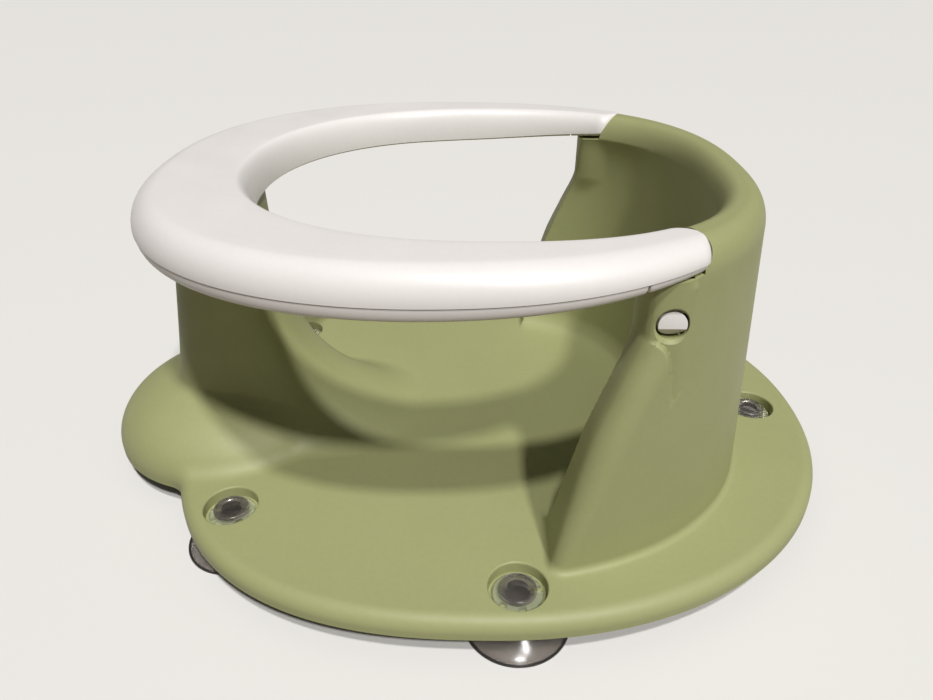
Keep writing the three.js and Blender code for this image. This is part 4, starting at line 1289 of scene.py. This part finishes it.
def leg_plug():
    """The leg: a hollow plug, open towards the latch finger, with a tapered foot."""
    levels = [*((LEG_FOOT + above, inset) for above, inset in LEG_TAPER), (LEG_ROOT, 0)]
    plug = oblong("plug", LEG_X, POST_Y, LEG_HALF_DEPTH, LEG_HALF_WIDTH, levels)
    half = LEG_HALF_WIDTH - LEG_SIDE_WALL
    low = (LEG_X - LEG_HALF_DEPTH + LEG_BACK_WALL, POST_Y - half, LEG_POCKET[0])
    high = (LEG_X + LEG_HALF_DEPTH + OVERLAP, POST_Y + half, LEG_POCKET[1])
    return cut(plug, block("pocket", low, high))


def make_legs(strips):
    right, left = strips
    plug = leg_plug()
    combine(left, "UNION", mirrored_copy(plug, "plug_left"))
    combine(right, "UNION", plug)
    for strip in strips:
        shade(strip.data, RING_SHARP_ANGLE)
    return strips


def latch_button():
    """A springy finger with the round, ridged head that shows in the post's hole."""
    outer = LEG_X + LEG_HALF_DEPTH
    half = LEG_HALF_WIDTH - LEG_SIDE_WALL - GAP
    tip = POST_FACE - LATCH_SET_BACK
    back = tip - LATCH_DEPTH
    low = LATCH_HOLE_Z - LATCH_RADIUS
    high = LATCH_HOLE_Z + LATCH_RADIUS
    ridge = (tip, LATCH_HOLE_Z - LATCH_RIDGE_DROP)
    outline = [(back, low), (tip - LATCH_RAMP, low), ridge, (tip - LATCH_TOP_RAMP, high), (back, high)]
    head = prism("head", outline, 1, POST_Y - LATCH_RADIUS - OVERLAP, POST_Y + LATCH_RADIUS + OVERLAP)
    start, end = LATCH_ROD
    rod = lathe_mesh("rod", [(0, start), (LATCH_RADIUS, start), (LATCH_RADIUS, end), (0, end)], FINE_SIDES)
    rod.transform(Matrix.Translation((tip, POST_Y, LATCH_HOLE_Z)) @ Matrix.Rotation(math.pi / 2, 4, "Y"))
    combine(head, "INTERSECT", new_object("rod", rod))
    bevel = head.modifiers.new("edge round", "BEVEL")
    bevel.width = LATCH_EDGE_ROUND
    bevel.segments = 3
    bevel.limit_method = "ANGLE"
    bevel.angle_limit = math.radians(BEVEL_ANGLE)
    evaluated(head)
    blade_foot = (outer - FINGER_THICKNESS, POST_Y - half, LEG_POCKET[0] + GAP)
    blade = block("blade", blade_foot, (outer, POST_Y + half, FINGER_TOP))
    neck_low = (outer - OVERLAP, POST_Y - half, low + OVERLAP)
    neck = block("neck", neck_low, (back + OVERLAP, POST_Y + half, high - OVERLAP))
    button = combine(blade, "UNION", neck, head)
    shade(button.data)
    return button


# Suction cups and collars

def cup_source():
    """A suction cup with its neck and the flat knob that holds it in its recess."""
    rim = CUP_RADIUS - CUP_LIP["width"]
    depth = CUP_HOLLOW["depth"]
    hollow = [(rim * share, depth * (1 - share ** CUP_HOLLOW["power"])) for share in CUP_HOLLOW["places"]]
    edge = CUP_LIP["round"]
    side = CUP_RADIUS - CUP_LIP["inset"]
    lip = [(CUP_RADIUS - edge, 0), (CUP_RADIUS, edge), (side, CUP_LIP["top"])]
    shoulder = CUP_SHOULDER["radius"]
    low = CUP_SHOULDER["low"]
    high = CUP_SHOULDER["high"]
    across = shoulder + CUP_BELL["foot_out"] - side
    up = low - CUP_BELL["foot_down"] - CUP_LIP["top"]
    bell = []
    for step in range(1, CUP_BELL["steps"] + 1):
        share = step / CUP_BELL["steps"]
        bell.append((side + across * share, CUP_LIP["top"] + up * share ** CUP_BELL["power"]))
    edge = CUP_SHOULDER["round"]
    neck = [
        (shoulder, low), (shoulder, high - edge), (shoulder - edge, high), (NECK_RADIUS, high),
        (NECK_RADIUS, KNOB["low"]),
    ]
    edge = KNOB["round"]
    foot = (KNOB["radius"] - KNOB["foot_inset"], KNOB["low"])
    knob = [foot, *arc((KNOB["radius"] - edge, KNOB["high"] - edge), edge, -20, 90)]
    disc = KNOB["high"] - KNOB_DISC["sunk"]
    sunk = [(KNOB_DISC["radius"] + KNOB_DISC["slant"], KNOB["high"]), (KNOB_DISC["radius"], disc), (0, disc)]
    profile = [(0, depth), *hollow, *lip, *bell, *neck, *knob, *sunk]
    cup = new_object("cup_source", lathe_mesh("cup_source", profile, FINE_SIDES))
    shade(cup.data)
    return cup


def collar_source():
    """A split clear ring under the knob; its split opens towards +Y, and two notches are cut in its edge."""
    low = COLLAR["low"]
    high = COLLAR["high"]
    edge = COLLAR["edge"]
    bore = NECK_RADIUS + GAP
    profile = [
        (bore, low), (COLLAR_RADIUS - edge, low), (COLLAR_RADIUS, low + edge), (COLLAR_RADIUS, high - edge),
        (COLLAR_RADIUS - edge, high), (bore + edge, high), (bore, high - edge),
    ]
    collar = new_object("collar_source", lathe_mesh("collar_source", profile, FINE_SIDES, closed=True))
    past = COLLAR_RADIUS + 2 * OVERLAP
    half = COLLAR_SPLIT / 2
    cut(collar, block("split", (-half, 0, low - OVERLAP), (half, past, high + OVERLAP)))
    half = COLLAR_NOTCH["width"] / 2
    start = COLLAR_NOTCH["from_radius"]
    for direction in COLLAR_NOTCH["directions"]:
        notch = block("notch", (start, -half, low - OVERLAP), (past, half, high + OVERLAP))
        notch.data.transform(Matrix.Rotation(math.radians(direction), 4, "Z"))
        cut(collar, notch)
    shade(collar.data)
    return collar


def scatter_tree():
    """Copies of one piece at points, each turned by a share of its point's direction."""
    tree, given = geometry_tree("copies at places", {"Turn": 0.0})
    tree.interface.new_socket("Source", in_out="INPUT", socket_type="NodeSocketObject")
    info = tree.nodes.new("GeometryNodeObjectInfo")
    tree.links.new(given.outputs["Source"], info.inputs["Object"])
    place = tree.nodes.new("GeometryNodeInputPosition")
    apart = tree.nodes.new("ShaderNodeSeparateXYZ")
    tree.links.new(place.outputs[0], apart.inputs[0])
    direction = Number(tree, apart.outputs["Y"]).math("ARCTAN2", Number(tree, apart.outputs["X"]))
    together = tree.nodes.new("ShaderNodeCombineXYZ")
    feed(tree, together.inputs["Z"], direction * sized(tree, given, "Turn"))
    copies = tree.nodes.new("GeometryNodeInstanceOnPoints")
    tree.links.new(given.outputs["Geometry"], copies.inputs["Points"])
    tree.links.new(info.outputs["Geometry"], copies.inputs["Instance"])
    tree.links.new(together.outputs[0], copies.inputs["Rotation"])
    finish_tree(tree, copies.outputs[0], given)
    return tree


def scattered(name, tree, source, material, places, turn=0.0):
    piece = new_object(name, new_mesh(name, places, []))
    add_tree(piece, tree, Material=material, Source=source, Turn=turn)
    evaluated(piece)
    bpy.data.objects.remove(source)
    return piece


# Materials

def noise(tree, coordinates, scale, detail):
    node = tree.nodes.new("ShaderNodeTexNoise")
    feed(tree, node.inputs["Scale"], scale)
    node.inputs["Detail"].default_value = detail
    tree.links.new(coordinates, node.inputs["Vector"])
    return node.outputs["Fac"]


def spread(tree, value, low, high):
    """Maps the middle of a noise value to the range from low to high."""
    node = tree.nodes.new("ShaderNodeMapRange")
    node.inputs["From Min"].default_value, node.inputs["From Max"].default_value = NOISE_MIDDLE
    tree.links.new(value, node.inputs["Value"])
    feed(tree, node.inputs["To Min"], low)
    feed(tree, node.inputs["To Max"], high)
    return node.outputs["Result"]


def moulded_finish():
    """Moulded plastic: faint flow tones, handled patches in the gloss and a fine grain in the surface."""
    tree = bpy.data.node_groups.new("moulded finish", "ShaderNodeTree")
    for label, kind in (
        ("Colour", "Color"), ("Flow Tone", "Float"), ("Roughness", "Float"), ("Patches", "Float"),
        ("Grain Size", "Float"), ("Grain Depth", "Float"),
    ):
        tree.interface.new_socket(label, in_out="INPUT", socket_type=f"NodeSocket{kind}")
    for label, kind in (("Colour", "Color"), ("Roughness", "Float"), ("Normal", "Vector")):
        tree.interface.new_socket(label, in_out="OUTPUT", socket_type=f"NodeSocket{kind}")
    given = tree.nodes.new("NodeGroupInput")
    out = tree.nodes.new("NodeGroupOutput")
    place = tree.nodes.new("ShaderNodeTexCoord").outputs["Object"]
    tone = sized(tree, given, "Flow Tone")
    flow = spread(tree, noise(tree, place, **FLOW_NOISE), 1 - tone, 1 + tone)
    speck = spread(tree, noise(tree, place, **SPECK_NOISE), 1 - tone * SPECK_SHARE, 1 + tone * SPECK_SHARE)
    tint = tree.nodes.new("ShaderNodeVectorMath")
    tint.operation = "SCALE"
    tree.links.new(given.outputs["Colour"], tint.inputs[0])
    feed(tree, tint.inputs["Scale"], Number(tree, flow) * Number(tree, speck))
    tree.links.new(tint.outputs[0], out.inputs["Colour"])
    rough = sized(tree, given, "Roughness")
    patches = sized(tree, given, "Patches")
    shine = spread(tree, noise(tree, place, **PATCH_NOISE), rough - patches, rough + patches)
    tree.links.new(shine, out.inputs["Roughness"])
    bump = tree.nodes.new("ShaderNodeBump")
    bump.inputs["Strength"].default_value = GRAIN_STRENGTH
    feed(tree, bump.inputs["Distance"], sized(tree, given, "Grain Depth"))
    grain = noise(tree, place, 1 / sized(tree, given, "Grain Size"), GRAIN_DETAIL)
    tree.links.new(grain, bump.inputs["Height"])
    tree.links.new(bump.outputs["Normal"], out.inputs["Normal"])
    return tree


def new_material(name, colour, roughness, **inputs):
    material = bpy.data.materials.new(name)
    material.use_nodes = True
    shader = material.node_tree.nodes["Principled BSDF"]
    shader.inputs["Base Color"].default_value = (*colour, 1)
    shader.inputs["Roughness"].default_value = roughness
    for label, value in inputs.items():
        shader.inputs[label].default_value = value
    return material


def finished_material(slot, colour, finish):
    """The slot's material: the record's colour in the slot's tone, with the shared finish in its own look."""
    given = FINISHES[slot]
    colour = tuple(value * share for value, share in zip(colour, given["tone"]))
    material = new_material(given["name"], colour, given["roughness"], **given["inputs"])
    tree = material.node_tree
    shader = tree.nodes["Principled BSDF"]
    group = tree.nodes.new("ShaderNodeGroup")
    group.node_tree = finish
    values = {"Colour": (*colour, 1), "Roughness": given["roughness"], **given["look"]}
    for label, value in values.items():
        group.inputs[label].default_value = value
    for label, socket in (("Colour", "Base Color"), ("Roughness", "Roughness"), ("Normal", "Normal")):
        tree.links.new(group.outputs[label], shader.inputs[socket])
    return material


def make_materials():
    finish = moulded_finish()
    materials = {}
    for entry in frame["record"]["materials"]:
        materials[entry["slot"]] = finished_material(entry["slot"], entry["base_color"][:3], finish)
    return materials


# Assembly

def finish_piece(piece, name, body, slot, *nodes, material=None):
    """Finishes a piece: real units, its name, its body, its material if one is given, and the nodes that it
    stands for; the slot argument is not used.
    """
    piece.data.transform(Matrix.Diagonal((MM, MM, MM, 1)))
    piece.name = name
    piece.data.name = name
    if material is not None:
        piece.data.materials.clear()
        piece.data.materials.append(material)
    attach(piece, body)
    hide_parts(*nodes)


def make_camera():
    data = bpy.data.cameras.new("camera")
    data.lens = CAMERA_LENS
    data.sensor_width = SENSOR_WIDTH
    data.sensor_fit = "HORIZONTAL"
    camera = bpy.data.objects.new("camera", data)
    bpy.context.scene.collection.objects.link(camera)
    pitch = math.radians(CAMERA_PITCH)
    yaw = math.radians(CAMERA_YAW)
    ahead = Vector((-math.cos(yaw) * math.cos(pitch), -math.sin(yaw) * math.cos(pitch), -math.sin(pitch)))
    turn = ahead.to_track_quat("-Z", "Y").to_matrix().to_4x4()
    roll = Matrix.Rotation(math.radians(CAMERA_ROLL), 4, "Z")
    camera.matrix_world = Matrix.Translation(CAMERA_PLACE) @ turn @ roll
    bpy.context.scene.camera = camera


def seen_by(tree, labels):
    """Share of the rays that are of any of the named kinds."""
    rays = tree.nodes.new("ShaderNodeLightPath")
    total = Number(tree, rays.outputs[labels[0]])
    for label in labels[1:]:
        total = total.math("MAXIMUM", Number(tree, rays.outputs[label]))
    return total


def mixed_colour(tree, share, first, second):
    mix = tree.nodes.new("ShaderNodeMix")
    mix.data_type = "RGBA"
    tree.links.new(share.socket, mix.inputs["Factor"])
    mix.inputs["A"].default_value = (*first, 1)
    mix.inputs["B"].default_value = (*second, 1)
    return mix.outputs["Result"]


def make_stage():
    side = FLOOR_HALF_SIDE
    points = [(-side, -side, 0), (side, -side, 0), (side, side, 0), (-side, side, 0)]
    floor = new_object("floor", new_mesh("floor", points, [(0, 1, 2, 3)]))
    material = new_material("pale floor", FLOOR_COLOUR, FLOOR_ROUGHNESS)
    tree = material.node_tree
    shader = tree.nodes["Principled BSDF"]
    seen = seen_by(tree, ("Is Camera Ray", "Is Glossy Ray", "Is Transmission Ray"))
    tree.links.new(mixed_colour(tree, seen, BOUNCE_COLOUR, FLOOR_COLOUR), shader.inputs["Base Color"])
    floor.data.materials.append(material)
    world = bpy.data.worlds.new("world")
    bpy.context.scene.world = world
    world.use_nodes = True
    tree = world.node_tree
    background = tree.nodes["Background"]
    seen = seen_by(tree, ("Is Camera Ray", "Is Transmission Ray"))
    tree.links.new(mixed_colour(tree, seen, FILL_COLOUR, BACKDROP_COLOUR), background.inputs["Color"])
    feed(tree, background.inputs["Strength"], seen * (1 - FILL_STRENGTH) + FILL_STRENGTH)


def add_lamp(name, direction, strength, colour):
    data = bpy.data.lights.new(name, "SUN")
    data.angle = math.radians(LAMP_WIDTH)
    data.energy = strength
    data.color = colour
    lamp = bpy.data.objects.new(name, data)
    bpy.context.scene.collection.objects.link(lamp)
    lamp.matrix_world = Vector(direction).to_track_quat("Z", "Y").to_matrix().to_4x4()


def dress_shell(green):
    finish_piece(make_shell(), "moulded_shell", "seat", "shell", "body_shell", material=green)


def dress_ring(white):
    top_cover, bottom_cover, *strips = make_ring(white)
    finish_piece(top_cover, "ring_cap", "ring", "ring", "ring_top_cover", material=white)
    finish_piece(bottom_cover, "ring_tray", "ring", "ring", "ring_bottom_cover", material=white)
    for side, leg in zip(SIDES, make_legs(strips)):
        finish_piece(leg, f"ring_end_{side}", "ring", "ring", f"ring_leg_{side}", material=white)
    right = latch_button()
    left = mirrored_copy(right, "button_left")
    shade(left.data)
    for side, button in zip(SIDES, (right, left)):
        node = f"latch_button_{side}"
        finish_piece(button, f"latch_head_{side}", f"button_{side}", "ring", node, material=white)


def dress_repeated_pieces(materials):
    """The cups, the collars and the screws, each kind as copies of one source."""
    tree = scatter_tree()
    places = [(x, y, 0) for x, y in CUP_PLACES]
    cups = scattered("cups", tree, cup_source(), materials["cups"], places)
    finish_piece(cups, "suction_cups", "seat", "cups", *(f"suction_cup_{name}" for name in CUP_NAMES))
    collars = scattered("collars", tree, collar_source(), materials["collars"], places, turn=1.0)
    finish_piece(collars, "cup_collars", "seat", "collars", *(f"cup_collar_{name}" for name in CUP_NAMES))
    screws = scattered("screws", tree, screw_source(), materials["screws"], SCREW_PLACES)
    finish_piece(screws, "ring_screws", "ring", "screws", *SCREW_NAMES)


make_camera()
make_stage()
for lamp_name, lamp in LAMPS.items():
    add_lamp(lamp_name, **lamp)

slot_materials = make_materials()
dress_shell(slot_materials["shell"])
dress_ring(slot_materials["ring"])
dress_repeated_pieces(slot_materials)

bpy.context.scene.view_settings.view_transform = "Standard"
